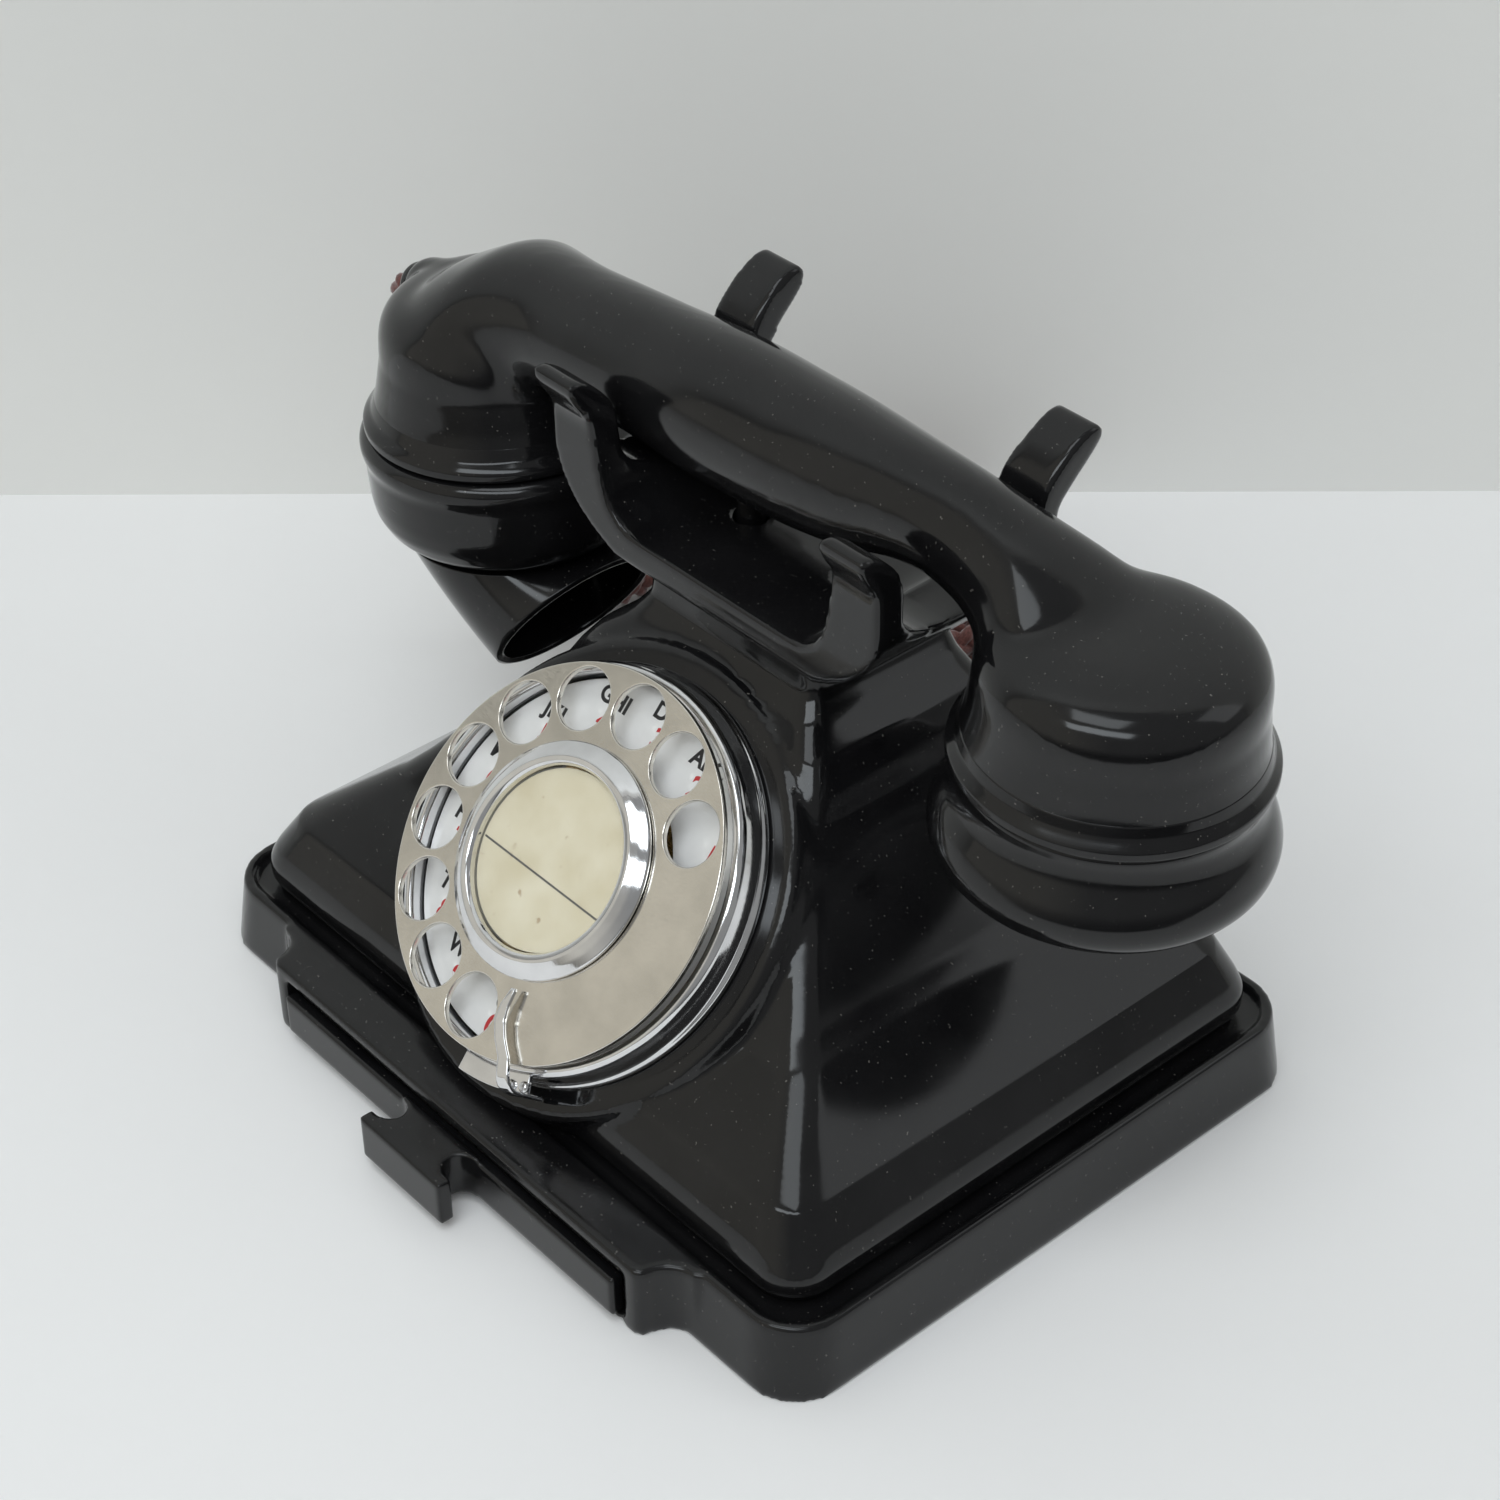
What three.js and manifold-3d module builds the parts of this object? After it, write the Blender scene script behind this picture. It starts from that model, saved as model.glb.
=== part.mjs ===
// A pyramid-shaped table telephone of the 1930s: moulded black body with a rotary dial, a cradle of four
// horns, a handset, and a plinth that holds a shallow drawer. Millimetres, +Z up, the dial facing -Y.
// Most shapes are drawn about the centre of the plinth; the whole group is then moved by ORIGIN_SHIFT,
// so that the origin lies under the middle of the object's box, on the table.
import * as THREE from "three";
import { mergeVertices } from "three/addons/utils/BufferGeometryUtils.js";
import Module from "manifold-3d";

// ---- Driving dimensions -------------------------------------------------------------------------

const ORIGIN_SHIFT = new THREE.Vector3(5.7, 7.55, 0);
const GAP = 0.3; // left between pieces that touch

const PLINTH = { halfX: 89.35, halfY: 67.45, height: 16.4, draft: 1.8, corner: 11.4, wall: 4, deck: 2 };
const RIM_WIDTH = 2.2; // raised band round the top of the plinth
const LEDGE_DEPTH = 2; // the body stands this far below the band
const HOUSING = { halfX: 57, front: -74.5, openHalfX: 52.5, openLow: 1.7, openHigh: 13.4 };
const BASE_PLATE = { thickness: 1.2, inset: 3.2 };

const SKIRT = { halfX: 82.2, halfY: 60.9, foot: 14.8, low: 17.2, high: 21.2, corner: 8.5 };
const SHELL_WALL = 3.6;
const NECK_TOP = 97.3;

const DIAL = { y: -45.6, z: 60.24, tilt: THREE.MathUtils.degToRad(42.5) }; // centre of the finger plate
const FINGER_PLATE = { radius: 38, thickness: 1.4, holes: 10, holeRadius: 6.1, holeCircle: 30.8 };
const FIRST_HOLE = THREE.MathUtils.degToRad(38);
const HOLE_STEP = THREE.MathUtils.degToRad(25.8);
const BOSS = { radius: 46, top: -11, bore: 36.5 };

const CRADLE_Y = 15.5; // middle plane of the handset and its cradle
const CRADLE = { halfX: 44.5, trough: 16, floor: 108.6, deck: 102.5, low: 97 };

// The two ends of the handset are turned shapes that lean a little, each about a point on its axis.
const TRANSMITTER = { x: -90.7, lean: THREE.MathUtils.degToRad(-2.6), pivot: 94 };
const RECEIVER = { x: 79.5, lean: THREE.MathUtils.degToRad(2.8), pivot: 105.5 };

const DRAWER = { halfX: 51, front: -76, plate: 3, low: 2.2, high: 11.2, back: 28, wall: 1.2 };
const PULL = { halfX: 12.4, low: 2.2, high: 12.2, front: -85.4, back: -82.4, neckHalfX: 7.5 };

// ---- Materials ----------------------------------------------------------------------------------

const finish = (color, roughness, metalness) =>
  new THREE.MeshStandardMaterial({ color, roughness, metalness });
const phenolic = finish(0x0c0c0c, 0.18, 0);
const nickel = finish(0xcfc8bd, 0.18, 1);
const chrome = finish(0xd8dadc, 0.08, 1);
const steel = finish(0x8d8f90, 0.45, 1);
const brass = finish(0xb08d4a, 0.35, 1);
const enamel = finish(0xf2f2ee, 0.25, 0);
const card = finish(0xe6dcb4, 0.8, 0);
const clear = finish(0xf4f4f0, 0.1, 0);
const copper = finish(0x8a4b2a, 0.5, 1);
const braid = finish(0x4a211c, 0.9, 0);

// ---- Solids -------------------------------------------------------------------------------------

const wasm = await Module();
wasm.setup();

// A closed geometry as a manifold-3d solid.
function solid(geometry) {
  const bare = geometry.index ? geometry.toNonIndexed() : geometry.clone();
  for (const name of Object.keys(bare.attributes)) if (name !== "position") bare.deleteAttribute(name);
  const merged = mergeVertices(bare, 1e-4);
  return new wasm.Manifold(
    new wasm.Mesh({
      numProp: 3,
      vertProperties: merged.attributes.position.array,
      triVerts: new Uint32Array(merged.index.array),
    }),
  );
}

function geometryOf(body) {
  const mesh = body.getMesh();
  const geometry = new THREE.BufferGeometry();
  geometry.setAttribute("position", new THREE.BufferAttribute(mesh.vertProperties, 3));
  geometry.setIndex(new THREE.BufferAttribute(mesh.triVerts, 1));
  return geometry;
}

const join = (first, ...more) =>
  geometryOf(more.reduce((sum, piece) => sum.add(solid(piece)), solid(first)));
const cut = (first, ...tools) =>
  geometryOf(tools.reduce((rest, tool) => rest.subtract(solid(tool)), solid(first)));
const common = (first, second) => geometryOf(solid(first).intersect(solid(second)));

// A box given by its two extreme corners.
function block(low, high) {
  const size = high.map((value, i) => value - low[i]);
  return new THREE.BoxGeometry(...size).translate(...low.map((value, i) => value + size[i] / 2));
}

// A profile of [radius, height] points, listed upwards on the outside, turned about Z.
function turned(profile, segments = 24) {
  const points = profile.map(([r, z]) => new THREE.Vector2(r, z));
  return new THREE.LatheGeometry(points, segments).rotateX(Math.PI / 2);
}

// A tube or washer: a rectangle turned about Z.
const ring = (inner, outer, low, high, segments = 24) =>
  turned([[inner, low], [outer, low], [outer, high], [inner, high], [inner, low]], segments);
const rod = (radius, low, high, segments = 12) =>
  turned([[0, low], [radius, low], [radius, high], [0, high]], segments);

// An outline in the XY plane, raised along Z.
function slab(points, low, high, holes = []) {
  const shape = new THREE.Shape(points.map(([x, y]) => new THREE.Vector2(x, y)));
  shape.holes = holes.map((hole) => new THREE.Path(hole.map(([x, y]) => new THREE.Vector2(x, y))));
  const extruded = new THREE.ExtrudeGeometry(shape, { depth: high - low, bevelEnabled: false });
  return extruded.translate(0, 0, low);
}

// Rings of points, lowest first, each counter-clockwise seen from above and convex, as one closed skin.
function loft(rings) {
  const count = rings[0].length;
  const faces = [];
  for (let k = 0; k + 1 < rings.length; k++)
    for (let i = 0; i < count; i++) {
      const a = k * count + i;
      const b = k * count + ((i + 1) % count);
      faces.push(a, b, b + count, a, b + count, a + count);
    }
  const top = (rings.length - 1) * count;
  for (let i = 1; i + 1 < count; i++) faces.push(0, i + 1, i, top, top + i, top + i + 1);
  const geometry = new THREE.BufferGeometry();
  geometry.setFromPoints(rings.flat());
  geometry.setIndex(faces);
  return geometry;
}

// A rectangle with round corners at height z, as points.
function roundedRing({ halfX, front, back, radius }, z, steps = 3) {
  const points = [];
  const centres = [[1, back, 0], [-1, back, 90], [-1, front, 180], [1, front, 270]];
  for (const [side, y, start] of centres)
    for (let i = 0; i <= steps; i++) {
      const angle = THREE.MathUtils.degToRad(start + (90 * i) / steps);
      const centreY = y === back ? back - radius : front + radius;
      const x = side * (halfX - radius) + radius * Math.cos(angle);
      points.push(new THREE.Vector3(x, centreY + radius * Math.sin(angle), z));
    }
  return points;
}

const roundedSlab = (halfX, front, back, radius, low, high) =>
  loft([low, high].map((z) => roundedRing({ halfX, front, back, radius }, z)));

const parts = new THREE.Group();

function place(name, geometry, material, parent = parts) {
  const mesh = new THREE.Mesh(geometry, material);
  mesh.name = name;
  parent.add(mesh);
  return mesh;
}

// ---- Plinth -------------------------------------------------------------------------------------

const CORNER_SCREWS = [[-72, -50], [72, -50], [-72, 50], [72, 50]];

function plinth() {
  const { halfX, halfY, height, draft, corner, wall, deck } = PLINTH;
  const outline = (inset, z, radius) =>
    roundedRing({ halfX: halfX - inset, front: -halfY + inset, back: halfY - inset, radius }, z);
  const body = loft([outline(0, 0, corner), outline(draft, height, corner)]);
  const ledge = height - LEDGE_DEPTH;
  const band = draft + RIM_WIDTH;
  const recess = loft([outline(band, ledge, 9), outline(band, height + 1, 9)]);
  const hollow = loft([outline(wall, -1, 8), outline(wall, ledge - deck, 8)]);
  const bump = drawerHousing(height);
  const opening = block(
    [-HOUSING.openHalfX, HOUSING.front - 5, HOUSING.openLow],
    [HOUSING.openHalfX, -halfY + wall + 2, HOUSING.openHigh],
  );
  const sill = block([-HOUSING.openHalfX, HOUSING.front - 1, -1], [HOUSING.openHalfX, -66, 0]);
  const screwHoles = CORNER_SCREWS.map(([x, y]) => rod(2.2, -1, height).translate(x, y, 0));
  const posts = CORNER_SCREWS.map(([x, y]) => rod(5, BASE_PLATE.thickness + GAP, ledge).translate(x, y, 0));
  const wires = roundedSlab(14, 52, 60, 3, 5, height);
  const inlets = [INLET.handset, INLET.line].map((x) =>
    rod(4.3, 0, 20).rotateX(-Math.PI / 2).translate(x, halfY - 12, INLET.z),
  );
  const walls = cut(join(body, bump), recess, hollow, opening, sill);
  return cut(join(walls, ...posts), ...screwHoles, wires, ...inlets);
}

// The bulge at the front that takes the drawer; its sides sweep into the plinth in hollow curves.
function drawerHousing(top) {
  const { halfX, front } = HOUSING;
  const sweep = 6.5;
  const base = -PLINTH.halfY + 0.5;
  const side = [];
  for (let i = 0; i <= 5; i++) {
    const angle = (Math.PI / 2) * (i / 5);
    side.push([halfX + sweep * (1 - Math.cos(angle)), base - sweep * (1 - Math.sin(angle))]);
  }
  const right = [[halfX - 1.5, front], [halfX, front + 1.2], ...side];
  const left = right.map(([x, y]) => [-x, y]).reverse();
  return slab([...right, [halfX, -50], [-halfX, -50], ...left], 0, top);
}

const INLET = { handset: -20, line: 20, z: 8.5 }; // where the two cords enter the plinth's back wall

function basePlate() {
  const { halfX, halfY } = PLINTH;
  const inset = PLINTH.wall + GAP;
  const plate = roundedSlab(halfX - inset, -halfY + inset + 3, halfY - inset, 8.5, 0, BASE_PLATE.thickness);
  const holes = CORNER_SCREWS.map(([x, y]) => rod(3.6, -1, 2).translate(x, y, 0));
  return cut(plate, ...holes);
}

// A cheese-head screw that comes up through the base plate into a pillar of the body.
const cornerScrew = () => turned([[0, 0.2], [3.2, 0.2], [3.2, 1.4], [1.7, 1.4], [1.7, 19], [0, 19]], 12);

// ---- Body shell ---------------------------------------------------------------------------------

// Height, half width, front, back and corner radius of the body's outer skin. Straight stretches need
// only their two ends; the shoulder under the neck and the turn above the skirt need more.
const BODY_SECTIONS = [
  [SKIRT.foot, SKIRT.halfX - 1, -SKIRT.halfY + 1, SKIRT.halfY - 1, SKIRT.corner],
  [SKIRT.low - 0.3, SKIRT.halfX - 1, -SKIRT.halfY + 1, SKIRT.halfY - 1, SKIRT.corner],
  [SKIRT.low, SKIRT.halfX, -SKIRT.halfY, SKIRT.halfY, SKIRT.corner],
  [SKIRT.high, SKIRT.halfX, -SKIRT.halfY, SKIRT.halfY, SKIRT.corner],
  [24, 81, -59.9, 60, 8.5],
  [31.2, 76.8, -55.8, 57, 7.5],
  [37.6, 68.6, -47.7, 53, 6],
  [43.6, 60.9, -39.8, 49.5, 5],
  [47.6, 57, -36.1, 47.5, 4.5],
  [71.6, 36.8, -16.2, 37.3, 4.5],
  [76.7, 34.2, -13.5, 35.8, 4.5],
  [81.1, 31.1, -10.5, 34.3, 4],
  [84.8, 26.7, -6.2, 33, 4],
  [88.9, 23.6, -3.1, 32.3, 3],
  [NECK_TOP + 1, 22.6, -2.4, 32.3, 3],
];

function bodySkin(inset, low, high) {
  const rings = BODY_SECTIONS.filter(([z]) => z > low && z < high);
  const at = (z) => {
    const upper = BODY_SECTIONS.findIndex((section) => section[0] >= z);
    const [a, b] = [BODY_SECTIONS[Math.max(upper - 1, 0)], BODY_SECTIONS[upper]];
    const t = b[0] === a[0] ? 0 : (z - a[0]) / (b[0] - a[0]);
    return a.map((value, i) => value + t * (b[i] - value));
  };
  return loft(
    [at(low), ...rings, at(high)].map(([z, halfX, front, back, radius], i, all) => {
      const height = inset && i === all.length - 1 ? z - inset : z;
      const skin = { halfX: halfX - inset, front: front + inset, back: back - inset };
      return roundedRing({ ...skin, radius: Math.max(radius - inset / 2, 2) }, height);
    }),
  );
}

// Places a geometry drawn on the dial, with X to the right, Y up the dial and Z out of its face.
const DIAL_FRAME = new THREE.Matrix4()
  .makeRotationX(Math.PI / 2 - DIAL.tilt)
  .setPosition(0, DIAL.y, DIAL.z);
const onDial = (geometry) => geometry.applyMatrix4(DIAL_FRAME);

function dialBoss() {
  const { radius, top } = BOSS;
  const profile = [[0, -40], [radius + 3, -40], [radius + 3, top - 9], [radius + 0.8, top - 4]];
  const boss = turned([...profile, [radius, top - 1], [radius - 1, top], [0, top]], 32);
  const above = block([-70, -90, SKIRT.low], [70, 20, 120]);
  return common(onDial(boss), above);
}

// End view of the cradle's two sides, as distance from its middle plane and height: the outer wall, the
// horn that leans outward, and the wall of the trough. The front horns are shorter than the back ones.
const BACK_SIDE = [
  [21, 97], [20.8, 118], [21.6, 122.6], [25.5, 126.6], [29.4, 130.1], [31.6, 132.8], [31.6, 134.6],
  [30, 136], [26.5, 135], [22.6, 132.6], [19.4, 129.6], [16.9, 126.2], [16, 122],
];
const FRONT_SIDE = [
  [22.6, 97], [22.6, 121.4], [23.2, 124], [25.4, 127.2], [26.6, 130], [26.2, 131.8], [24.2, 131.8],
  [20.6, 129.6], [17.4, 126.2], [16, 122],
];

function cradle() {
  const { halfX, trough, floor, deck, low } = CRADLE;
  const arc = [];
  for (let i = 0; i <= 4; i++) {
    const angle = (Math.PI / 2) * (i / 4);
    arc.push([trough * Math.cos(angle), floor + 7 - 7 * Math.sin(angle)]);
  }
  const side = (half) => [...half, ...arc.slice(0, -1)];
  const front = side(FRONT_SIDE).map(([u, z]) => [-u, z]).reverse();
  const endView = slab([...side(BACK_SIDE), [0, floor], ...front], -halfX, halfX)
    .rotateX(Math.PI / 2)
    .rotateZ(Math.PI / 2)
    .translate(0, CRADLE_Y, 0);
  const outer = [[27, low], [34, 99.4], [39, 103], [42.6, 107.5], [halfX, 113], [halfX, 140]];
  const notch = [[34.5, 140], [32.3, 120], [31, 112], [29, 106.5], [25.5, 103.4], [21, deck]];
  const edge = [...outer, ...notch];
  const frontView = slab([...edge, ...edge.map(([x, z]) => [-x, z]).reverse()], -60, 60)
    .rotateX(Math.PI / 2)
    .translate(0, CRADLE_Y, 0);
  return common(endView, frontView);
}

const PLUNGERS = [-14, 14];

function bodyShell() {
  const outer = bodySkin(0, SKIRT.foot, NECK_TOP + 0.9);
  const inner = bodySkin(SHELL_WALL, SKIRT.foot, NECK_TOP + 0.9);
  const opening = roundedSlab(SKIRT.halfX - 4.6, -SKIRT.halfY + 4.6, SKIRT.halfY - 4.6, 6, 10, 15.5);
  const bossInside = common(onDial(rod(BOSS.radius - 3.4, -40, BOSS.top - 4, 28)), bodySkin(1, 15, 97));
  const bore = onDial(rod(BOSS.bore, -26, 5, 32));
  const pillars = CORNER_SCREWS.map(([x, y]) => {
    const pillar = rod(4.5, SKIRT.foot, 40).translate(x, y, 0);
    return common(pillar, bodySkin(1, SKIRT.foot, 60));
  });
  const screwHoles = CORNER_SCREWS.map(([x, y]) => rod(2.1, 10, 20.5).translate(x, y, 0));
  const plungerHoles = PLUNGERS.map((x) => rod(3.3, 88, 106).translate(x, CRADLE_Y, 0));
  const hollow = cut(join(outer, dialBoss(), cradle()), inner, opening, bossInside, bore);
  return cut(join(hollow, ...pillars), ...screwHoles, ...plungerHoles);
}


// ---- Dial ---------------------------------------------------------------------------------------

const holeCentre = (k, radius = FINGER_PLATE.holeCircle) => {
  const angle = FIRST_HOLE + k * HOLE_STEP;
  return [radius * Math.cos(angle), radius * Math.sin(angle)];
};

const circle = ([x, y], radius, count) =>
  Array.from({ length: count }, (_, i) => {
    const angle = (2 * Math.PI * i) / count;
    return [x + radius * Math.cos(angle), y + radius * Math.sin(angle)];
  });

function fingerPlate() {
  const { radius, thickness, holes, holeRadius } = FINGER_PLATE;
  const fingerHoles = Array.from({ length: holes }, (_, k) => circle(holeCentre(k), holeRadius, 12));
  const middle = circle([0, 0], 20.4, 24);
  return slab(circle([0, 0], radius, 40), -thickness, 0, [...fingerHoles, middle]);
}

// The raised ring that holds the card: a foot on the finger plate, a sloping side and a lip over the card.
const centreRing = () =>
  turned([
    [20, -1.6], [20, 0.3], [22.6, 0.3], [22.6, 1], [20.8, 2.4], [19.4, 3], [18.2, 2.9], [17.7, 2.3],
    [17.7, -1.6], [20, -1.6],
  ], 28);

// The pressed case round the dial works: a flange on the boss and a wall that rises close to the plate.
const dialCase = () =>
  turned([
    [34.8, -26], [36, -26], [36, -10.7], [42.6, -10.7], [42.6, -9.6], [39.9, -9.2], [39.4, -4.6],
    [38.6, -3.6], [37.4, -3.6], [36.9, -4.2], [36.9, -8], [34.8, -8], [34.8, -26],
  ], 32);
const numberRing = () => ring(22, 36.4, -7.6, -6.8, 32);

// The hooked stop: a foot on the case's rim, a bend round the edge of the finger plate, and a blade
// that reaches inward over it.
function fingerStop() {
  const side = [
    [43.4, -8.9], [43.4, -3], [43, -0.2], [41.4, 1.5], [38.8, 2.1], [24.3, 2.1], [24.3, 1],
    [38.2, 1], [40.4, 0.5], [41.4, -1], [41.4, -8.9],
  ];
  const blade = slab(side.reverse(), -2, 2).rotateX(Math.PI / 2);
  const taper = slab([[24, -0.9], [30, -1.6], [38, -2], [44, -2], [44, 2], [38, 2], [30, 1.6], [24, 0.9]], -12, 5);
  return common(blade, taper).rotateZ(STOP_ANGLE);
}
const STOP_ANGLE = THREE.MathUtils.degToRad(-68);

// Everything that turns with the finger plate: spindle, drive wheel and the sleeve between them.
const dialSpindle = () =>
  turned([[0, -30], [2.5, -30], [2.5, -15.2], [6, -15.2], [6, -2.1], [17.2, -2.1], [17.2, -1.2], [0, -1.2]], 20);

function gear(teeth, tip, root, low, high, bore) {
  const points = [];
  for (let i = 0; i < teeth; i++)
    for (const [part, radius] of [[0, root], [0.28, root], [0.42, tip], [0.86, tip]]) {
      const angle = ((i + part) / teeth) * 2 * Math.PI;
      points.push([radius * Math.cos(angle), radius * Math.sin(angle)]);
    }
  return slab(points, low, high, [circle([0, 0], bore, 12)]);
}

// The pinion stands at a gap between two teeth of the drive wheel, so that the two are in mesh.
const TOOTH_MIDDLE = 0.64; // where a tooth's middle lies in its share of the circle
const DRIVE = { teeth: 30, tip: 18.8, root: 16.9, low: -17.4, high: -15.6 };
const PINION = { teeth: 8, tip: 5.4, root: 3.5, distance: 23.6 };
PINION.angle = ((16 + TOOTH_MIDDLE - 0.5) / DRIVE.teeth) * 2 * Math.PI;
PINION.turn = PINION.angle + Math.PI - (TOOTH_MIDDLE / PINION.teeth) * 2 * Math.PI;
const GOVERNOR_AT = [
  PINION.distance * Math.cos(PINION.angle),
  PINION.distance * Math.sin(PINION.angle),
];

const driveWheel = () => gear(DRIVE.teeth, DRIVE.tip, DRIVE.root, DRIVE.low, DRIVE.high, 2.8);

// Pinion, shaft and the round drum in which its weights spin.
function governor() {
  const wheel = gear(PINION.teeth, PINION.tip, PINION.root, DRIVE.low + 0.2, DRIVE.high - 0.2, 0.6);
  const shaft = turned([
    [0, -30], [1.2, -30], [1.2, -26.4], [6.5, -26.4], [6.5, -20.6], [1.2, -20.6], [1.2, -12], [0, -12],
  ], 14);
  return join(wheel.rotateZ(PINION.turn), shaft).translate(...GOVERNOR_AT, 0);
}

// The frame behind the dial, with a hole for each shaft.
function dialFrame() {
  const plate = slab(circle([0, 0], 30, 24), -29.4, -28);
  const shelf = slab(circle([0, 0], 34.4, 28), -13.6, -12.4, [circle([0, 0], 7, 16)]);
  const arms = [40, 130, 310].map((degrees) => {
    const angle = THREE.MathUtils.degToRad(degrees);
    return rod(2, -28.5, -13, 10).translate(27 * Math.cos(angle), 27 * Math.sin(angle), 0);
  });
  const pivot = rod(1.5, -40, -10, 10).translate(...GOVERNOR_AT, 0);
  return cut(join(plate, shelf, ...arms), rod(2.9, -40, -25, 12), pivot);
}

// The pulsing contacts: two spring blades on an insulating block.
const contactSprings = () =>
  join(
    block([-4, -22.5, -27], [14, -20.9, -21]),
    block([-4, -21, -26], [0, -18.9, -22]),
    block([-4, -19, -27], [12, -18.2, -21]),
  );

const dialParts = new THREE.Group();
parts.add(dialParts);
dialParts.applyMatrix4(DIAL_FRAME);

// ---- Handset ------------------------------------------------------------------------------------

// Position along X, section radius and centre height of the handle.
const HANDLE = [
  [-104, 6, 110.5], [-98, 9.5, 112.6], [-92, 12, 115.4], [-86, 13, 117.9], [-80, 13.2, 119.2],
  [-64, 13.2, 120.7], [-40, 13.4, 122.4], [-20, 14.4, 123], [0, 14, 123.6], [10, 13.5, 124.1],
  [20, 12.5, 124.9], [30, 11, 126.3], [40, 10.3, 126.6], [50, 10.5, 125.2], [60, 11.5, 122.4],
  [68, 12, 118.4], [74, 10, 115.6], [78, 8, 114],
];

function handle() {
  const count = 12;
  return loft(
    HANDLE.map(([x, radius, z]) =>
      Array.from({ length: count }, (_, i) => {
        const angle = (2 * Math.PI * i) / count;
        return new THREE.Vector3(x, CRADLE_Y + radius * Math.cos(angle), z + radius * Math.sin(angle));
      }),
    ),
  );
}

const atEnd = ({ x, lean, pivot }) => (geometry) =>
  geometry.translate(0, 0, -pivot).rotateY(lean).translate(x, CRADLE_Y, pivot);
const atTransmitter = atEnd(TRANSMITTER);
const atReceiver = atEnd(RECEIVER);

// A dome whose section is a squared-off quarter of an ellipse, as profile points from its rim to its top.
function dome(radius, height, base, power, steps = 5) {
  return Array.from({ length: steps + 1 }, (_, i) => {
    const angle = (Math.PI / 2) * (i / steps);
    return [radius * Math.cos(angle) ** power, base + height * Math.sin(angle) ** power];
  });
}

function handsetBody() {
  const receiver = atReceiver(
    turned([
      [0, 98.6], [28, 98.6], [28.7, 99.5], [28.7, 102.4], [27.6, 103.6], [25.4, 104.6], [24.9, 106.4],
      ...dome(25, 15.2, 109.7, 0.74),
    ]),
  );
  const transmitter = atTransmitter(
    turned([
      [0, 90.2], [28.4, 90.2], [29.2, 91.2], [29.2, 93.8], [28.2, 95.2], [25.4, 96.8], [24.2, 99.6],
      ...dome(23.7, 17.4, 102.5, 0.69),
    ]),
  );
  const receiverRoom = atReceiver(rod(21.5, 97, 115, 24));
  const transmitterRoom = atTransmitter(rod(21.2, 88, 108, 24));
  const wireway = [
    rod(2.6, -90, 76, 8).rotateY(Math.PI / 2).translate(0, CRADLE_Y, 118.5),
    rod(2.6, 104, 118.5, 8).translate(-88, CRADLE_Y, 0),
    rod(2.6, 104, 118.5, 8).translate(74, CRADLE_Y, 0),
  ];
  const skin = join(handle(), receiver, transmitter, cordNose());
  return cut(skin, receiverRoom, transmitterRoom, ...wireway, cordBore());
}

// The cord leaves the transmitter end on this line, outward and down.
const CORD_EXIT = new THREE.Vector3(-114, CRADLE_Y, 110);
const CORD_DIRECTION = new THREE.Vector3(-0.97, 0, -0.24).normalize();
const alongExit = (geometry) =>
  geometry
    .applyQuaternion(new THREE.Quaternion().setFromUnitVectors(new THREE.Vector3(0, 0, 1), CORD_DIRECTION))
    .translate(...CORD_EXIT.toArray());
const cordNose = () => alongExit(turned([[0, -9], [7, -9], [6.6, 0], [5.4, 2.4], [0, 2.4]], 14));
const cordBore = () => alongExit(rod(3.9, -16, 3, 12));

const earCap = () =>
  atReceiver(
    turned([
      [3.2, 84], [3.2, 81.6], [10, 81.2], [16, 79.8], [21, 77], [24.2, 76.5], [28.4, 78.2], [30.6, 81.2],
      [31, 84.4], [29.8, 88.2], [27.6, 91.8], [27, 94.8], [27.4, 97.4], [26.8, 98.3], [25, 98.3], [25, 90],
      [22, 86.2], [12, 84], [3.2, 84],
    ]),
  );

const receiverCapsule = () =>
  atReceiver(turned([[0, 86.4], [19, 86.4], [24, 91], [24, 97.4], [20.8, 98.8], [20.8, 108], [0, 108]]));

const transmitterCap = () =>
  atTransmitter(
    turned([
      [17.6, 69.6], [17.6, 66.8], [24.4, 67.3], [27.2, 69.6], [28.9, 72.8], [29.4, 76], [29.7, 84],
      [30.5, 86.4], [30.4, 88.4], [29, 89.9], [24.6, 89.9], [24.6, 73.5], [20.5, 70.5], [17.6, 69.6],
    ]),
  );

const transmitterCapsule = () =>
  atTransmitter(turned([[0, 74], [21, 74], [24, 76.4], [24, 88.6], [20.6, 90], [20.6, 100], [0, 100]]));

// The mouthpiece, a curved scoop: oval sections that fan out from the flat ring on the cap to the
// slanting mouth. Near and far are the ends of a section's length, as X and Z; bulge bends the far side.
const MOUTHPIECE = {
  topNear: new THREE.Vector2(-66.2, 66.9),
  topFar: new THREE.Vector2(-113, 64.8),
  mouthNear: new THREE.Vector2(-61, 67),
  mouthFar: new THREE.Vector2(-81, 35.8),
  bulge: new THREE.Vector2(-99.4, 47.2),
  topHalf: 23.4,
  mouthHalf: 19.5,
  wall: 2.4,
};

function mouthpieceRing(share, inset, beyond) {
  const { topNear, topFar, mouthNear, mouthFar, bulge, topHalf, mouthHalf } = MOUTHPIECE;
  const far = new THREE.QuadraticBezierCurve(topFar, bulge, mouthFar).getPoint(share);
  const near = topNear.clone().lerp(mouthNear, share);
  const middle = near.clone().add(far).divideScalar(2);
  const reach = far.clone().sub(near).setLength(near.distanceTo(far) / 2 - inset);
  const outward = new THREE.Vector2(-reach.y, reach.x).setLength(beyond);
  const half = topHalf + share * (mouthHalf - topHalf) - inset;
  const count = 20;
  return Array.from({ length: count }, (_, i) => {
    const angle = (-2 * Math.PI * i) / count;
    const point = middle.clone().addScaledVector(reach, Math.cos(angle)).add(outward);
    return new THREE.Vector3(point.x, CRADLE_Y + half * Math.sin(angle), point.y);
  });
}

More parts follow.
